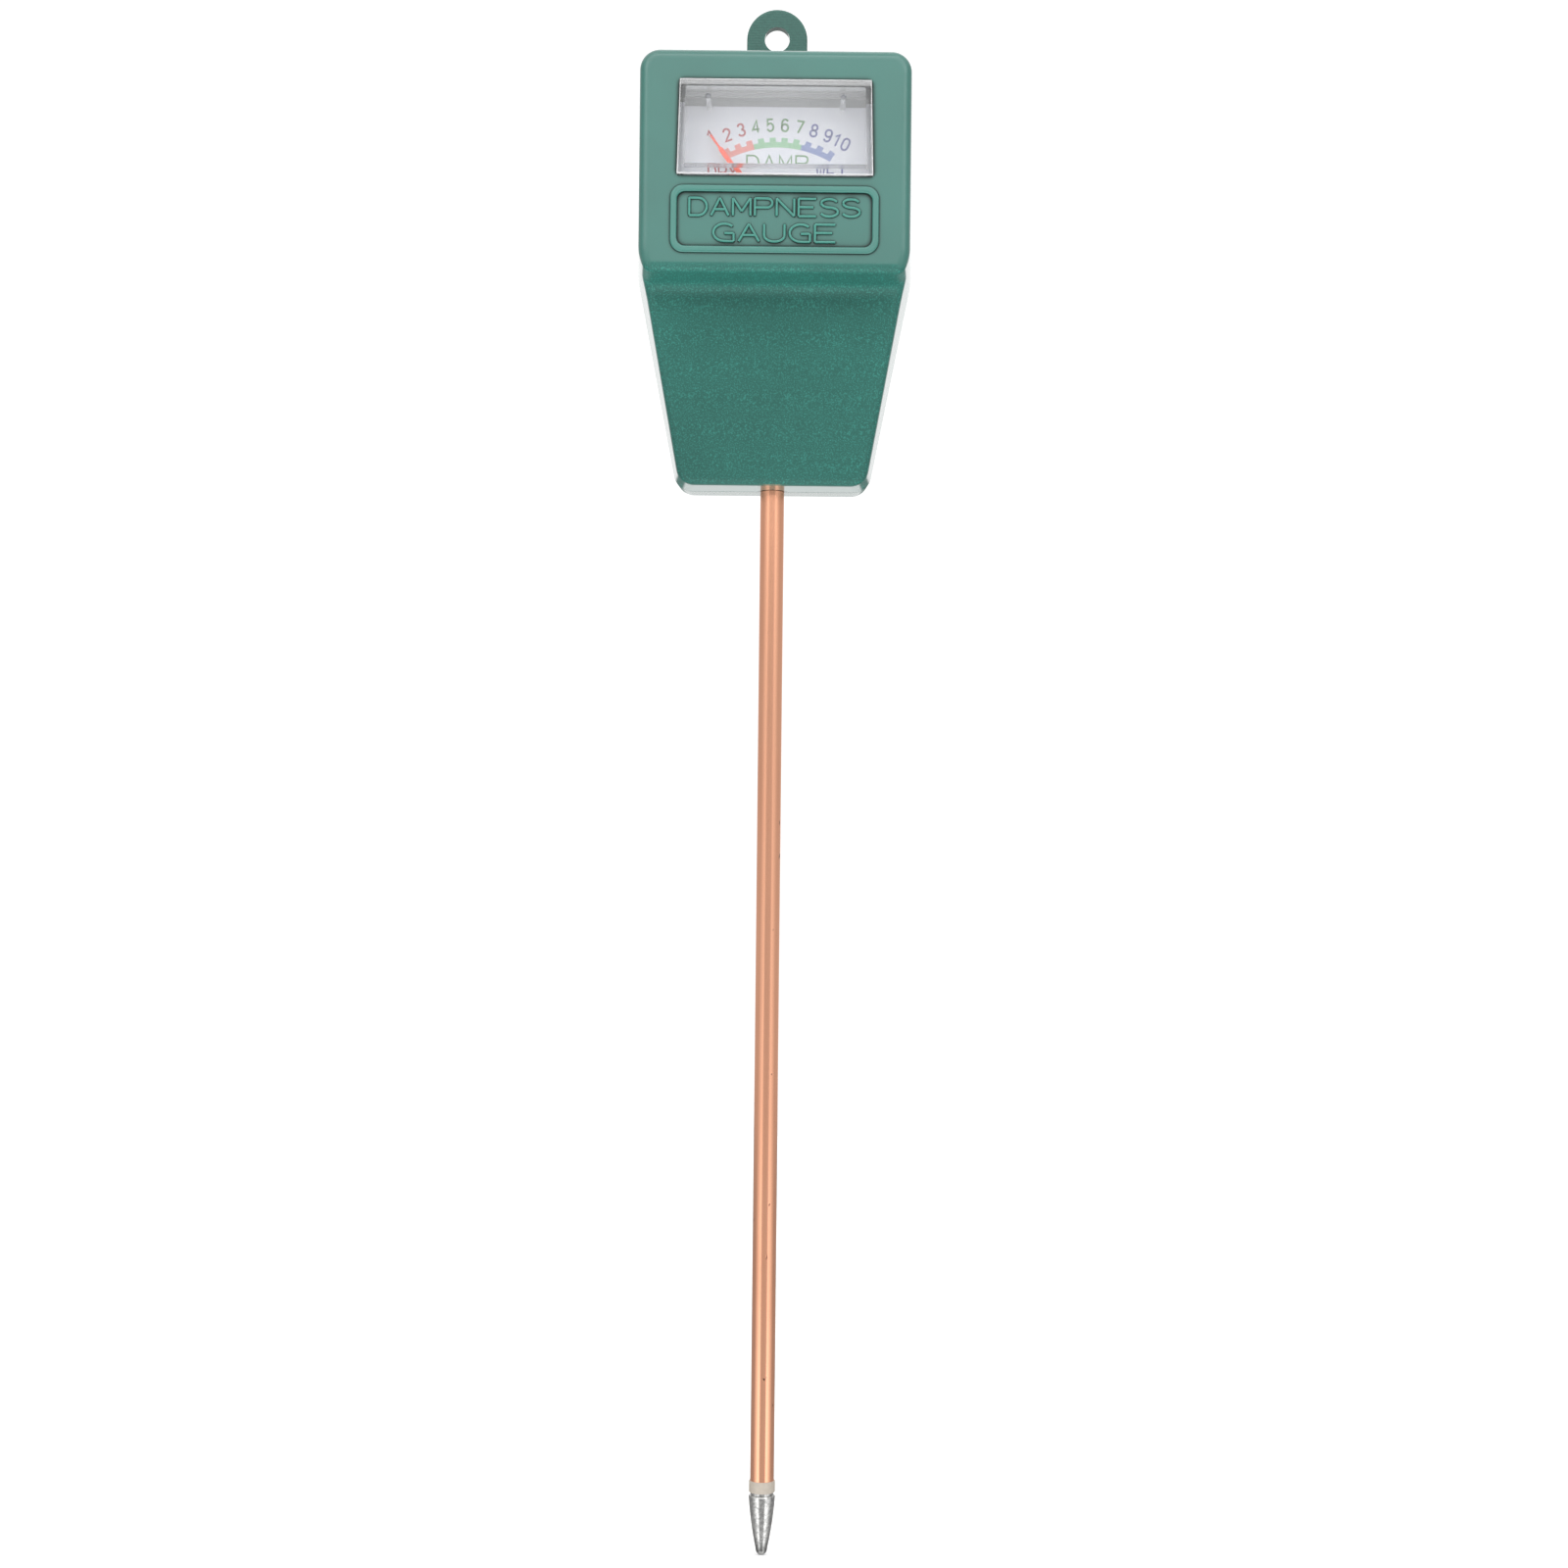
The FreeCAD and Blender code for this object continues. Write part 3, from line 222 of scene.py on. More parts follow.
class Look(Graph):
    """A material being built: one Principled shader and the nodes that drive it."""

    def __init__(self, name, colour, roughness, metallic=0.0, **sockets):
        self.mat = bpy.data.materials.new(name)
        self.mat.use_nodes = True
        super().__init__(self.mat.node_tree)
        self.shader = self.tree.nodes["Principled BSDF"]
        self.output = self.tree.nodes["Material Output"]
        self.shader.inputs["Base Color"].default_value = (*colour, 1.0)
        self.shader.inputs["Roughness"].default_value = roughness
        self.shader.inputs["Metallic"].default_value = metallic
        for socket, value in sockets.items():
            self.shader.inputs[socket.replace("_", " ")].default_value = value

    def drive(self, socket, value):
        self.set(self.shader, socket, value)

    def place(self, scale=(1, 1, 1)):
        """Object coordinates in metres, scaled."""
        coords = self.add("TexCoord")
        return self.add("Mapping", Vector=coords.outputs["Object"], Scale=scale).outputs[0]

    def noise(self, scale, detail=3.0, rough=0.55, stretch=(1, 1, 1)):
        where = self.place(tuple(scale * s for s in stretch))
        return self.add("TexNoise", Vector=where, Scale=1.0, Detail=detail, Roughness=rough).outputs["Fac"]

    def mix(self, factor, first, second):
        node = self.tree.nodes.new("ShaderNodeMix")
        node.data_type = "RGBA"
        for index, value in ((0, factor), (6, first), (7, second)):
            if isinstance(value, bpy.types.NodeSocket):
                self.tree.links.new(value, node.inputs[index])
            else:
                node.inputs[index].default_value = value if index == 0 else (*value, 1.0)
        return node.outputs[2]

    def bump(self, height, distance, strength=1.0, under=None):
        node = self.add("Bump", Height=height, Distance=distance, Strength=strength)
        if under is not None:
            self.tree.links.new(under, node.inputs["Normal"])
        self.tree.links.new(node.outputs[0], self.shader.inputs["Normal"])
        return node.outputs[0]

    def crease(self, reach, dark):
        """Painted shade: darkens the colour towards dark in corners closer than reach."""
        open_sky = self.add("AmbientOcclusion", Distance=reach).outputs["AO"]
        return self.ramp(open_sky, 0.6, 0.94, dark, 1.0)

    def scaled(self, colour, factor):
        """A colour times a factor."""
        node = self.tree.nodes.new("ShaderNodeVectorMath")
        node.operation = "SCALE"
        self.tree.links.new(colour, node.inputs[0])
        self.tree.links.new(factor, node.inputs["Scale"])
        return node.outputs[0]

    def axis(self, name):
        """One of the object's own coordinates in metres."""
        return self.add("SeparateXYZ", Vector=self.add("TexCoord").outputs["Object"]).outputs[name]

    def facing(self, name):
        """One part of the surface's own normal."""
        return self.add("SeparateXYZ", Vector=self.add("TexCoord").outputs["Normal"]).outputs[name]

    def absolute(self, value):
        return self.math("ABSOLUTE", value, 0.0)

    def varied(self, noise, low, high):
        """Carries the middle range of a noise over to low and high."""
        return self.ramp(noise, *NOISE_RANGE, low, high)

    def mottled(self, noise, colour, dark, light):
        """A colour between two of its shades."""
        return self.mix(self.varied(noise, 0.0, 1.0), shade(colour, dark), shade(colour, light))


def shade(colour, factor):
    """A colour made darker or lighter."""
    return tuple(min(1.0, c * factor) for c in colour)


def put(look, *nodes):
    """Gives a material to every slot of the named CAD nodes."""
    for name in nodes:
        mesh = NODES[name].data
        if not mesh.materials:
            mesh.materials.append(look.mat)
        for i in range(len(mesh.materials)):
            mesh.materials[i] = look.mat


# ---------------------------------------------------------------- materials

GREEN = (0.017, 0.111, 0.090)
# lighter than GREEN: painted light on the raised lettering
LETTER_GREEN_PAINTED_LIGHT = (0.024, 0.188, 0.148)
REAR_GREEN = (0.034, 0.110, 0.090)
SPECK_RANGE = (0.48, 0.68)
SPECK_TONES = (0.82, 1.6)
GRAINED_ROUGHNESS = 0.55
SATIN_ROUGHNESS = 0.36
ACRYLIC = (0.985, 0.99, 0.995)
CARD = (0.72, 0.73, 0.78)
CARD_FIBRES = ((0.70, 0.71, 0.765), (0.74, 0.75, 0.795))
COPPER = (0.93, 0.47, 0.30)
TARNISHED_COPPER = (0.86, 0.42, 0.265)
NICKED_COPPER = (0.22, 0.10, 0.07)
ZINC = (0.57, 0.57, 0.56)
PITTED_ZINC = (0.34, 0.34, 0.335)
WIRE = (0.55, 0.22, 0.10)
WIRE_TURNS = ((0.32, 0.11, 0.05), (0.62, 0.27, 0.13))


def polished_walls(look):
    """1 on the side walls and the foot, where the mould is polished for release."""
    side = look.ramp(look.absolute(look.facing("X")), 0.8, 0.95)
    foot = look.ramp(look.facing("Z"), -0.95, -0.8, 1.0, 0.0)
    foot = look.math("MULTIPLY", foot, look.ramp(look.axis("Z"), FOOT_Z, 2 * FOOT_Z, 1.0, 0.0))
    return look.math("MAXIMUM", side, foot)


def grained_plastic():
    """The front shell: grained in front, satin on its upper face and polished on its side walls; its colour
    carries painted shade in corners, painted light on its crown and undersides, and a lower face painted
    lighter near the step and darker towards its foot.
    """
    look = Look("front_green", GREEN, 0.5, Specular_IOR_Level=0.3, Coat_IOR=1.5, Coat_Roughness=0.3)
    wall = polished_walls(look)
    smooth = look.math("MAXIMUM", wall, look.ramp(look.axis("Z"), *SATIN_FROM))
    grain = look.noise(GRAIN_SCALE, 3.0, 0.7, GRAIN_STRETCH)
    speck = look.ramp(look.noise(GRAIN_SCALE, 2.0, 0.6, GRAIN_STRETCH), *SPECK_RANGE)
    base = look.mix(speck, *[shade(GREEN, tone) for tone in SPECK_TONES])
    base = look.mix(smooth, base, GREEN)
    # painted shade in corners, darkening the colour and the sheen
    corner_shade = look.crease(PAINTED_SHADE_REACH, PAINTED_SHADE_TONE)
    tone = corner_shade
    # the tone multiplies painted shade, a random mottle, and painted light on the lower face, crown and
    # undersides
    for part in (
        look.varied(look.noise(45, 3.0, 0.6), 0.94, 1.06),
        # painted light: lighter towards the step, darker towards the foot
        look.ramp(look.axis("Z"), *LOWER_FACE, *LOWER_FACE_PAINTED_LIGHT),
        # painted highlight on the plaque frame's crown
        look.ramp(look.axis("Y"), *CROWN, CROWN_PAINTED_LIGHT, 1.0),
        # painted light on faces that turn downwards
        look.ramp(look.facing("Z"), -0.8, -0.4, UNDERSIDE_PAINTED_LIGHT, 1.0),
    ):
        tone = look.math("MULTIPLY", tone, part)
    look.drive("Base Color", look.scaled(base, tone))
    rough = look.ramp(smooth, 0.0, 1.0, GRAINED_ROUGHNESS, SATIN_ROUGHNESS)
    look.drive("Roughness", look.math("ADD", rough, look.ramp(wall, 0.0, 1.0, 0.0, WALL_POLISH)))
    look.drive("Coat Weight", look.math("MULTIPLY", smooth, corner_shade))
    look.bump(grain, 0.03 * MM, look.ramp(smooth, 0.0, 1.0, 0.9, 0.03))
    return look


def letter_plastic():
    """The plaque's lettering: the same plastic, glossier, its colour a little brighter as painted light on
    the raised strokes, with painted shade in their corners.
    """
    look = Look("letter_green_painted_light", LETTER_GREEN_PAINTED_LIGHT, 0.4, Coat_IOR=1.5, Coat_Roughness=0.25)
    grain = look.noise(2600, 2.0)
    base = look.mix(look.ramp(grain, 0.35, 0.7), shade(LETTER_GREEN_PAINTED_LIGHT, 0.95), shade(LETTER_GREEN_PAINTED_LIGHT, 1.06))
    # painted shade in the lettering's corners
    corner_shade = look.crease(LETTER_PAINTED_SHADE_REACH, LETTER_PAINTED_SHADE_TONE)
    look.drive("Base Color", look.scaled(base, corner_shade))
    look.drive("Coat Weight", look.math("MULTIPLY", corner_shade, 0.5))
    look.bump(grain, 0.004 * MM, 0.4)
    return look


def lined_plastic():
    """The rear shell: the same plastic with the fine level tool marks of its moulding."""
    look = Look("rear_green", REAR_GREEN, 0.45, Specular_IOR_Level=0.4, Coat_IOR=1.5, Coat_Roughness=0.2)
    look.drive("Coat Weight", polished_walls(look))
    lines = look.add("TexWave", Vector=look.place(), Scale=1100.0, Distortion=1.2, Detail=1.0)
    lines.bands_direction = "Z"
    grain = look.noise(2600, 2.0)
    look.drive("Base Color",
               look.mix(look.ramp(grain, 0.35, 0.7), shade(REAR_GREEN, 0.92), shade(REAR_GREEN, 1.12)))
    look.drive("Roughness", look.varied(grain, 0.38, 0.5))
    under = look.bump(lines.outputs["Fac"], 0.02 * MM, 0.7)
    look.bump(grain, 0.012 * MM, 0.5, under=under)
    return look


def front_face(look):
    """1 where the surface faces straight out of the dial."""
    return look.ramp(look.facing("Y"), -0.99, -0.95, 1.0, 0.0)


def cover_haze(look):
    """How far the clear moulding is hazed: its walls, roof and rim, with painted highlights on its bevel and
    along its moulded edges.
    """
    height = look.axis("Z")
    across = look.absolute(look.facing("Y"))
    walls = look.ramp(across, 0.1, 0.3, 1.0, 0.0)
    bevel = look.math("MULTIPLY", look.ramp(across, 0.3, 0.5), look.ramp(across, 0.85, 0.95, 1.0, 0.0))
    level = look.absolute(look.facing("Z"))
    haze = look.math("MULTIPLY", walls, look.ramp(level, 0.5, 0.9, WALL_HAZE, ROOF_HAZE))
    pegs = look.ramp(look.absolute(look.axis("X")), *PEG_SPAN, PEG_HAZE, 1.0)
    pegs = look.math("MAXIMUM", pegs, look.ramp(height, *HAZE_ABOVE))
    pegs = look.math("MAXIMUM", pegs, look.ramp(height, *HAZE_BELOW, 1.0, 0.0))
    haze = look.math("MULTIPLY", haze, pegs)
    outside = look.ramp(height, ROOF_OUT - 0.25 * MM, ROOF_OUT - 0.1 * MM, 1.0, ROOF_OUT_HAZE)
    haze = look.math("MULTIPLY", haze, outside)
    # painted highlight on the bevel
    haze = look.math("ADD", haze, look.math("MULTIPLY", bevel, EDGE_HIGHLIGHT))
    rim = look.ramp(height, ROOF_IN - 0.1 * MM, ROOF_IN + 0.1 * MM, 0.0, RIM_HAZE)
    front = look.math("MULTIPLY", front_face(look), look.ramp(look.axis("Y"), *FRONT_SPAN, 1.0, 0.0))
    haze = look.math("MAXIMUM", haze, look.math("MULTIPLY", front, rim))
    # painted highlight lines along the moulded edges
    for line in EDGE_HIGHLIGHT_LINES:
        away = look.absolute(look.math("SUBTRACT", look.axis("Y"), line))
        edge_highlight = look.math("MULTIPLY", walls, look.ramp(away, *EDGE_HIGHLIGHT_HALF, EDGE_HIGHLIGHT, 0.0))
        haze = look.math("MAXIMUM", haze, edge_highlight)
    return haze


def clear_acrylic():
    """Clear moulding: faint wear on its front, haze elsewhere with painted highlights on its bevel and edges,
    and a pale shadow.
    """
    look = Look("clear_acrylic", ACRYLIC, 0.0, IOR=1.49)
    wear = look.ramp(look.noise(220, 2.0), 0.3, 0.8, 0.0, 0.012)
    look.drive("Roughness", look.math("MULTIPLY", wear, front_face(look)))
    look.drive("Transmission Weight", look.math("SUBTRACT", 1.0, cover_haze(look)))
    shadow = look.add("BsdfTransparent", Color=SHADOW_TINT)
    mixed = look.add("MixShader", i0=look.add("LightPath").outputs["Is Shadow Ray"],
                     i1=look.shader.outputs[0], i2=shadow.outputs[0])
    look.tree.links.new(mixed.outputs[0], look.output.inputs["Surface"])
    return look


def paper():
    """The dial card: white with a bluish cast."""
    look = Look("card_stock", CARD, 0.7)
    fibre = look.noise(900, 4.0, 0.6)
    look.drive("Base Color", look.mix(look.varied(fibre, 0.0, 1.0), *CARD_FIBRES))
    look.bump(fibre, 0.01 * MM, 0.3)
    return look


def ink(name, colour):
    """Printing ink or paint, slightly uneven."""
    look = Look("ink_" + name, colour, 0.55)
    blot = look.noise(3000, 2.0, 0.5)
    look.drive("Base Color", look.mix(look.ramp(blot, 0.3, 0.75), shade(colour, 0.94), shade(colour, 1.10)))
    return look


def metal(name, colour, roughness):
    """Metal with fine marks."""
    look = Look(name, colour, roughness, 1.0)
    marks = look.noise(1200, 4.0, 0.65)
    look.drive("Base Color", look.mottled(marks, colour, 0.88, 1.08))
    look.drive("Roughness", look.varied(marks, roughness * 0.8, roughness * 1.25))
    look.bump(marks, 0.006 * MM, 0.6)
    return look


def plastic(name, colour, roughness):
    """Plain moulded or extruded plastic."""
    look = Look(name, colour, roughness)
    grain = look.noise(1500, 3.0, 0.6)
    look.drive("Base Color", look.mottled(grain, colour, 0.94, 1.06))
    look.drive("Roughness", look.varied(grain, roughness * 0.9, roughness * 1.1))
    look.bump(grain, 0.01 * MM, 0.5)
    return look


def drawn_copper():
    """Drawn copper tube: long die lines, soft tarnish and a few small dark nicks."""
    look = Look("drawn_copper", COPPER, 0.2, 1.0)
    lines = look.noise(2600, 3.0, 0.6, (1, 1, 0.012))
    tarnish = look.noise(120, 4.0, 0.6, (1, 1, 0.25))
    nicks = look.ramp(look.noise(700, 2.0, 0.5, (1, 1, 0.5)), 0.735, 0.78)
    base = look.mix(look.ramp(tarnish, 0.35, 0.7), COPPER, TARNISHED_COPPER)
    base = look.mix(look.ramp(lines, 0.35, 0.7, 0.0, 0.4), base, shade(COPPER, 0.86))
    look.drive("Base Color", look.mix(nicks, base, NICKED_COPPER))
    look.drive("Roughness", look.varied(tarnish, 0.155, 0.21))
    under = look.bump(lines, 0.004 * MM, 0.5)
    look.bump(nicks, -0.02 * MM, 0.8, under=under)
    return look


def cast_zinc():
    """Die-cast point: bright, slightly pitted, with fine turned rings, and painted shade darkening its nose.
    """
    look = Look("cast_zinc", ZINC, 0.22, 1.0)
    pits = look.noise(1500, 3.0, 0.6)
    rings = look.noise(5200, 2.0, 0.5, (0.02, 0.02, 1))
    base = look.mix(look.ramp(pits, 0.35, 0.62), PITTED_ZINC, ZINC)
    # painted shade darkening the nose
    nose_shade = look.ramp(look.axis("Z"), tip_low.z, tip_low.z + NOSE_SHADE_LENGTH, NOSE_PAINTED_SHADE, 1.0)
    look.drive("Base Color", look.scaled(base, nose_shade))
    look.drive("Roughness", look.varied(pits, 0.24, 0.12))
    under = look.bump(rings, 0.006 * MM, 0.5)
    look.bump(pits, 0.03 * MM, 0.55, under=under)
    return look


def wound_wire():
    """Fine enamelled turns of the coil."""
    look = Look("enamelled_wire", WIRE, 0.3, 0.9)
    turns = look.add("TexWave", Vector=look.place(), Scale=900.0, Distortion=0.4)
    turns.bands_direction = "DIAGONAL"
    look.drive("Base Color", look.mix(turns.outputs["Fac"], *WIRE_TURNS))
    look.bump(turns.outputs["Fac"], 0.03 * MM, 0.8)
    return look


# ---------------------------------------------------------------- mesh helpers

def mesh_object(name, vertices, faces, look):
    mesh = bpy.data.meshes.new(name)
    mesh.from_pydata([tuple(v) for v in vertices], [], faces)
    mesh.materials.append(look.mat)
    mesh.update()
    thing = bpy.data.objects.new(name, mesh)
    bpy.context.scene.collection.objects.link(thing)
    return thing


def arc(cx, cy, rx, ry, start_deg, end_deg, steps=10):
    """Points along an ellipse, in letter units."""
    turns = [math.radians(start_deg + (end_deg - start_deg) * i / steps) for i in range(steps + 1)]
    return [(cx + rx * math.cos(t), cy + ry * math.sin(t)) for t in turns]


# Strokes of plain single-line characters in a box 1 wide and 1 high
STROKES = {
    "0": [arc(0.5, 0.68, 0.5, 0.32, 0, 180) + arc(0.5, 0.32, 0.5, 0.32, 180, 360) + [(1, 0.68)]],
    "1": [[(0.1, 0.74), (0.6, 1.0), (0.6, 0.0)]],
    "2": [arc(0.5, 0.72, 0.48, 0.28, 170, -25) + [(0.0, 0.0), (1.0, 0.0)]],
    "3": [arc(0.48, 0.75, 0.44, 0.25, 165, -80), arc(0.48, 0.26, 0.5, 0.26, 88, -165)],
    "4": [[(0.75, 0.0), (0.75, 1.0), (0.0, 0.28), (1.02, 0.28)]],
    "5": [[(0.92, 1.0), (0.12, 1.0), (0.06, 0.5)] + arc(0.48, 0.33, 0.48, 0.33, 130, -155)],
    "6": [arc(0.5, 0.7, 0.47, 0.3, 30, 180) + arc(0.5, 0.3, 0.5, 0.3, 180, 540, 18)],
    "7": [[(0.0, 1.0), (1.0, 1.0), (0.35, 0.0)]],
    "8": [arc(0.5, 0.76, 0.42, 0.24, -90, 270, 18), arc(0.5, 0.26, 0.5, 0.26, -90, 270, 18)],
    "9": [arc(0.5, 0.3, 0.47, 0.3, 210, 360) + arc(0.5, 0.7, 0.5, 0.3, 0, 360, 18)],
    "A": [[(0.0, 0.0), (0.5, 1.0), (1.0, 0.0)], [(0.19, 0.36), (0.81, 0.36)]],
    "D": [[(0.0, 0.0), (0.0, 1.0)] + arc(0.5, 0.5, 0.5, 0.5, 90, -90, 14) + [(0.0, 0.0)]],
    "E": [[(1.0, 1.0), (0.0, 1.0), (0.0, 0.0), (1.0, 0.0)], [(0.0, 0.52), (0.85, 0.52)]],
    "G": [arc(0.55, 0.5, 0.55, 0.5, 45, 270, 14) + [(1.0, 0.0), (1.0, 0.46), (0.55, 0.46)]],
    "M": [[(0.0, 0.0), (0.0, 1.0), (0.5, 0.25), (1.0, 1.0), (1.0, 0.0)]],
    "N": [[(0.0, 0.0), (0.0, 1.0), (1.0, 0.0), (1.0, 1.0)]],
    "P": [[(0.0, 0.0), (0.0, 1.0)] + arc(0.7, 0.74, 0.3, 0.26, 90, -90) + [(0.0, 0.48)]],
    "R": [[(0.0, 0.0), (0.0, 1.0)] + arc(0.7, 0.75, 0.3, 0.25, 90, -90) + [(0.0, 0.5)],
          [(0.55, 0.5), (1.0, 0.0)]],
    "S": [arc(0.5, 0.76, 0.46, 0.24, 20, 250) + arc(0.5, 0.26, 0.5, 0.26, 70, -160)],
    "T": [[(0.0, 1.0), (1.0, 1.0)], [(0.5, 1.0), (0.5, 0.0)]],
    "U": [[(0.0, 1.0)] + arc(0.5, 0.35, 0.5, 0.35, 180, 360, 12) + [(1.0, 1.0)]],
    "W": [[(0.0, 1.0), (0.25, 0.0), (0.5, 0.8), (0.75, 0.0), (1.0, 1.0)]],
    "Y": [[(0.0, 1.0), (0.5, 0.5), (1.0, 1.0)], [(0.5, 0.5), (0.5, 0.0)]],
}


def ribbon(points, width, place):
    """Flat strip along a line with mitred joints: vertices and faces."""
    vertices = []
    faces = []
    count = len(points)
    for i, point in enumerate(points):
        before = (point - points[max(i - 1, 0)]).normalized() if i else None
        after = (points[min(i + 1, count - 1)] - point).normalized() if i < count - 1 else None
        way = (before or after) + (after or before)
        way = way.normalized() if way.length > 1e-6 else (after or before)
        side = Vector((-way.y, way.x))
        square = before if before is not None else after
        stretch = 1.0 / max(0.5, abs(side.dot(Vector((-square.y, square.x)))))
        for hand in (1, -1):
            vertices.append(place(point + side * (hand * stretch * width / 2)))
        if i:
            a = 2 * i - 2
            faces.append((a, a + 1, a + 3, a + 2))
    return vertices, faces


def joined(parts):
    vertices = []
    faces = []
    for more_vertices, more_faces in parts:
        offset = len(vertices)
        vertices += more_vertices
        faces += [tuple(i + offset for i in face) for face in more_faces]
    return vertices, faces


def on_card(lift=INK_LIFT):
    """Places a flat (x, z) point on the card's front."""
    return lambda p: Vector((p.x, card_low.y - lift, p.y))


def flat_character(letter, centre, width, height, stroke, tilt, place):
    """One printed character about its centre, tilt clockwise in radians."""
    turn = Matrix.Rotation(-tilt, 2)
    parts = []
    for line in STROKES[letter]:
        points = [centre + turn @ Vector(((x - 0.5) * width, (y - 0.5) * height)) for x, y in line]
        parts.append(ribbon(points, stroke, place))
    return parts


# ---------------------------------------------------------------- dial

def ring_sector(start, end, inner, outer, place, steps=24):
    """Band of the printed arc between two angles, clockwise from upright."""
    centre = Vector((ARC_CENTRE.x, ARC_CENTRE.z))
    vertices = []
    faces = []
    for i in range(steps + 1):
        a = start + (end - start) * i / steps
        way = Vector((math.sin(a), math.cos(a)))
        vertices += [place(centre + way * inner), place(centre + way * outer)]
        if i:
            k = 2 * i - 2
            faces.append((k, k + 2, k + 3, k + 1))
    return vertices, faces


def tooth_angle(number):
    """Angle about the needle's pivot of the tooth for one number."""
    return TOOTH_FIRST + TOOTH_STEP * (number - 1)


def arc_angle(number):
    """The same tooth's angle about the arc's own centre."""
    a = tooth_angle(number)
    way = Vector((math.sin(a), math.cos(a)))
    pivot = Vector((PIVOT.x, PIVOT.z))
    centre = Vector((ARC_CENTRE.x, ARC_CENTRE.z))
    offset = pivot - centre
    along = -offset.dot(way) + math.sqrt(offset.dot(way) ** 2 - offset.length_squared + ARC_OUT ** 2)
    spot = offset + way * along
    return math.atan2(spot.x, spot.y)


def tooth(number, place):
    a = tooth_angle(number)
    way = Vector((math.sin(a), math.cos(a)))
    side = Vector((way.y, -way.x))
    turn = arc_angle(number)
    out = Vector((math.sin(turn), math.cos(turn)))
    foot = Vector((ARC_CENTRE.x, ARC_CENTRE.z)) + out * (ARC_OUT - TOOTH_ROOT)
    height = TOOTH_TOP - ARC_OUT + TOOTH_ROOT
    corners = [foot - side * TOOTH_HALF, foot + side * TOOTH_HALF,
               foot + side * TOOTH_HALF + way * height, foot - side * TOOTH_HALF + way * height]
    return [place(c) for c in corners], [(0, 1, 2, 3)]


def printed_zone(name, look, numbers, start, end):
    """One coloured stretch of the arc with its teeth."""
    place = on_card()
    parts = [ring_sector(start, end, ARC_IN, ARC_OUT, place)]
    parts += [tooth(number, on_card(1.2 * INK_LIFT)) for number in numbers]
    ride_case(mesh_object(name, *joined(parts), look))


def printed_digits(name, look, numbers):
    place = on_card()
    parts = []
    for number in numbers:
        a = DIGIT_STEP * (number - 5.5)
        radius = DIGIT_RADIUS + (FIRST_DIGIT_OUT if number == 1 else 0.0)
        spot = Vector((ARC_CENTRE.x, ARC_CENTRE.z)) + Vector((math.sin(a), math.cos(a))) * radius
        tilt = tooth_angle(1) if number == 1 else a * DIGIT_TILT
        text = str(number)
        for i, letter in enumerate(text):
            shift = (i - (len(text) - 1) / 2) * (DIGIT_WIDTH + DIGIT_GAP)
            centre = spot + Vector((math.cos(tilt), -math.sin(tilt))) * shift
            parts += flat_character(letter, centre, DIGIT_WIDTH - DIGIT_STROKE,
                                    DIGIT_HEIGHT - DIGIT_STROKE, DIGIT_STROKE, tilt, place)
    ride_case(mesh_object(name, *joined(parts), look))


def printed_word(name, look, text, left, right, top, height):
    """A zone's word; left and right are from the arc's centre, top is a height on the card."""
    place = on_card()
    pitch = (right - left) / len(text)
    width = ZONE_WORD_FILL * pitch
    parts = []
    for i, letter in enumerate(text):
        centre = Vector((ARC_CENTRE.x + left + pitch * (i + 0.5), top - height / 2))
        parts += flat_character(letter, centre, width, height, ZONE_WORD_STROKE, 0.0, place)
    ride_case(mesh_object(name, *joined(parts), look))


def ride_case(piece):
    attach(piece, "case")
    return piece


def print_dial():
    inks = {name: ink(name, colour) for name, colour in INKS.items()}
    green_from = arc_angle(3) + GREEN_STARTS * (arc_angle(4) - arc_angle(3))
    blue_from = arc_angle(7) + BLUE_STARTS * (arc_angle(8) - arc_angle(7))
    overhang = TOOTH_HALF / ARC_OUT
    zones = (
        ("red", range(1, 4), arc_angle(1) - overhang, green_from),
        ("green", range(4, 8), green_from, blue_from),
        ("blue", range(8, 11), blue_from, arc_angle(10) + overhang),
    )
    for colour, numbers, start, end in zones:
        printed_zone("scale_" + colour, inks[colour], numbers, start, end)
    for colour, numbers, start, end in zones:
        printed_digits("digits_" + colour, inks[colour + "_type"], numbers)
    for name, colour, *word in ZONE_WORDS:
        printed_word(name, inks[colour], *word)


# ---------------------------------------------------------------- plaque lettering

def split_at_corners(line):
    """Cuts a stroke at its sharp corners, so that a tube along each piece keeps its full width."""
    pieces = [[line[0]]]
    for before, point, after in zip(line, line[1:], line[2:]):
        pieces[-1].append(point)
        if (Vector(point) - Vector(before)).angle(Vector(after) - Vector(point)) > SHARP_CORNER:
            pieces.append([point])
    pieces[-1].append(line[-1])
    return pieces


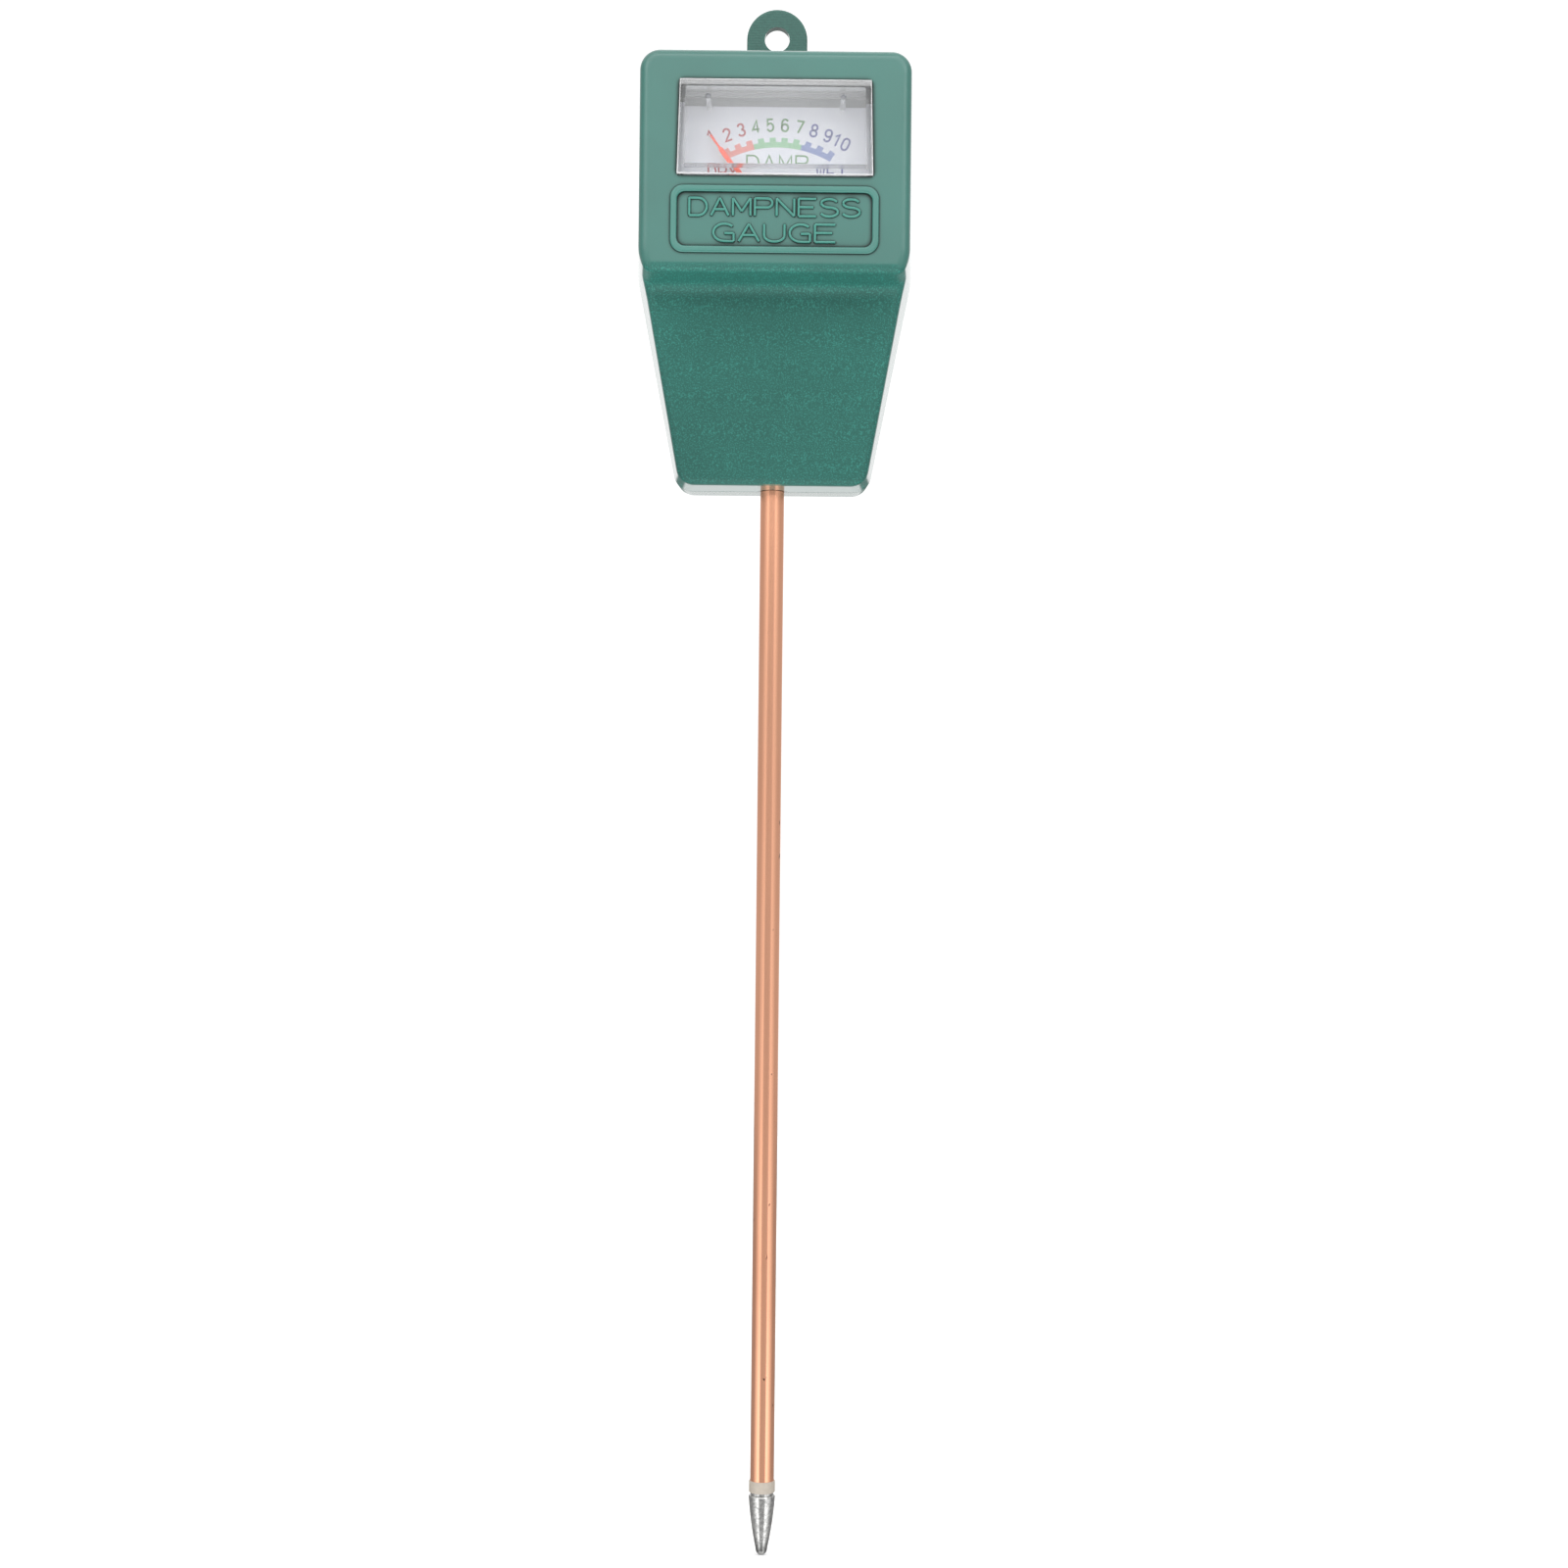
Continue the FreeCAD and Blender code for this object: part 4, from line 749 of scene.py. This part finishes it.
def raised_word(name, look, text, half, low):
    """Raised round strokes standing on the plaque, from -half to half."""
    curve = bpy.data.curves.new(name, "CURVE")
    curve.dimensions = "3D"
    curve.bevel_depth = STROKE_RADIUS
    curve.bevel_resolution = 3
    curve.use_fill_caps = True
    pitch = 2 * half / len(text)
    width = WORD_FILL * pitch
    for i, letter in enumerate(text):
        start = -half + pitch * i + (pitch - width) / 2
        for line in STROKES[letter]:
            for piece in split_at_corners(line):
                spline = curve.splines.new("POLY")
                spline.points.add(len(piece) - 1)
                for point, (x, y) in zip(spline.points, piece):
                    point.co = (start + x * width, STROKE_Y, low + y * WORD_HEIGHT, 1.0)
    source = bpy.data.objects.new(name + "_line", curve)
    bpy.context.scene.collection.objects.link(source)
    bpy.context.view_layer.update()
    mesh = bpy.data.meshes.new_from_object(source.evaluated_get(bpy.context.evaluated_depsgraph_get()))
    bpy.data.objects.remove(source)
    mesh.materials.clear()
    mesh.materials.append(look.mat)
    for polygon in mesh.polygons:
        polygon.use_smooth = True
    thing = bpy.data.objects.new(name, mesh)
    bpy.context.scene.collection.objects.link(thing)
    ride_case(thing)


# ---------------------------------------------------------------- stage

def area_light(name, place, target, width, height, power):
    data = bpy.data.lights.new(name, "AREA")
    data.shape = "RECTANGLE"
    data.size = width
    data.size_y = height
    data.energy = power
    lamp = bpy.data.objects.new(name, data)
    bpy.context.scene.collection.objects.link(lamp)
    lamp.location = place
    lamp.rotation_euler = (Vector(target) - Vector(place)).to_track_quat("-Z", "Y").to_euler()


def studio():
    """White surroundings by direction: bright behind and above, dimmer round the camera."""
    world = bpy.data.worlds.new("studio")
    bpy.context.scene.world = world
    world.use_nodes = True
    sky = Graph(world.node_tree)
    way = sky.add("SeparateXYZ", Vector=sky.add("TexCoord").outputs["Generated"])
    height = way.outputs["Z"]
    turn = sky.math("ARCTAN2", way.outputs["X"], sky.math("MULTIPLY", way.outputs["Y"], -1.0))
    turn = sky.math("ABSOLUTE", turn, 0.0)
    # tall panels either side of the camera, brighter away from its level
    panel = sky.math("MULTIPLY", sky.ramp(turn, *SIDE_START), sky.ramp(turn, *SIDE_END, 1.0, 0.0))
    growth = sky.math("MULTIPLY", sky.math("MULTIPLY", height, height), SIDE_GROWTH)
    growth = sky.math("MINIMUM", sky.math("ADD", growth, SIDE_LEVEL), SIDE_MOST)
    panel = sky.math("MULTIPLY", panel, growth)
    # broad panel above the camera
    above = sky.math("MULTIPLY", sky.ramp(height, *PANEL_RISE), sky.ramp(height, *PANEL_FALL, 1.0, 0.0))
    above = sky.math("MULTIPLY", above, sky.ramp(turn, *PANEL_SIDE, PANEL_POWER, 0.0))
    behind = sky.ramp(turn, *BACK_TURN, 0.0, BACK_POWER)
    zenith = sky.ramp(height, *ZENITH, 0.0, TOP_POWER)
    total = sky.ramp(height, *LOW_LIGHT, LOW_SHARE * FRONT_POWER, FRONT_POWER)
    for part in (panel, above, behind, zenith):
        total = sky.math("ADD", part, total)
    seen = sky.add("LightPath").outputs["Is Camera Ray"]
    back = sky.tree.nodes["Background"]
    sky.set(back, "Strength", sky.math("MAXIMUM", total, seen))
    sky.set(back, "Color", (1.0, 1.0, 1.0, 1.0))
    area_light("key", KEY_PLACE, KEY_TARGET, *KEY_SIZE, KEY_POWER)


def floor():
    """Pale floor behind the object, darker where the object reflects it."""
    look = Look("floor", (0.93, 0.93, 0.93), 0.9)
    pale = look.mix(look.noise(40, 2.0), *FLOOR_SEEN)
    seen = look.add("LightPath").outputs["Is Camera Ray"]
    look.drive("Base Color", look.mix(seen, FLOOR_REFLECTED, pale))
    z = tip_low.z
    corners = [(-FLOOR_HALF, 0.0, z), (FLOOR_HALF, 0.0, z),
               (FLOOR_HALF, FLOOR_BACK, z), (-FLOOR_HALF, FLOOR_BACK, z)]
    mesh_object("floor", corners, [(0, 1, 2, 3)], look)


def camera():
    data = bpy.data.cameras.new("camera")
    data.sensor_width = 36.0
    data.lens = LENS
    data.clip_start = 0.01
    data.clip_end = 100.0
    eye = bpy.data.objects.new("camera", data)
    bpy.context.scene.collection.objects.link(eye)
    eye.location = EYE
    level = Matrix.Rotation(math.radians(90), 4, "X")
    eye.rotation_euler = (level @ Matrix.Rotation(CAMERA_ROLL, 4, "Z")).to_euler()
    bpy.context.scene.camera = eye


# ---------------------------------------------------------------- the object

def dress_nodes():
    put(grained_plastic(), "front_shell")
    put(lined_plastic(), "rear_shell")
    put(clear_acrylic(), "clear_cover")
    put(paper(), "dial_card")
    put(plastic("plate_grey", (0.42, 0.43, 0.44), 0.6), "movement_plate")
    put(metal("screw_steel", (0.60, 0.60, 0.61), 0.3), "movement_screws", "case_screws", "bridge_screws",
        "front_pivot", "rear_pivot")
    put(metal("soft_iron", (0.30, 0.30, 0.31), 0.45), "yoke_ring")
    put(metal("magnet_alloy", (0.16, 0.16, 0.17), 0.5), "core_magnet")
    put(metal("brass", (0.78, 0.56, 0.26), 0.3), "core_pins", "balance_weight", "pointer_stops",
        "front_bridge", "rear_bridge", "front_bearing_screw", "rear_bearing_screw", "zero_arm",
        "front_hairspring", "rear_hairspring", "tube_strap")
    put(metal("former_aluminium", (0.80, 0.80, 0.82), 0.35), "coil_former")
    put(wound_wire(), "coil_winding")
    put(ink("pointer_paint", (0.86, 0.10, 0.05)), "pointer")
    put(drawn_copper(), "copper_tube")
    put(plastic("beige_nylon", (0.37, 0.33, 0.28), 0.5), "insulating_ring", "probe_collar")
    put(cast_zinc(), "probe_tip")
    put(plastic("red_sleeve", (0.55, 0.05, 0.04), 0.4), "tip_lead")
    put(plastic("black_sleeve", (0.03, 0.03, 0.03), 0.4), "tube_lead")


camera()
studio()
floor()
dress_nodes()
print_dial()
letters = letter_plastic()
raised_word("plaque_word_upper", letters, *UPPER_WORD)
raised_word("plaque_word_lower", letters, *LOWER_WORD)
bpy.context.scene.view_settings.view_transform = "Standard"
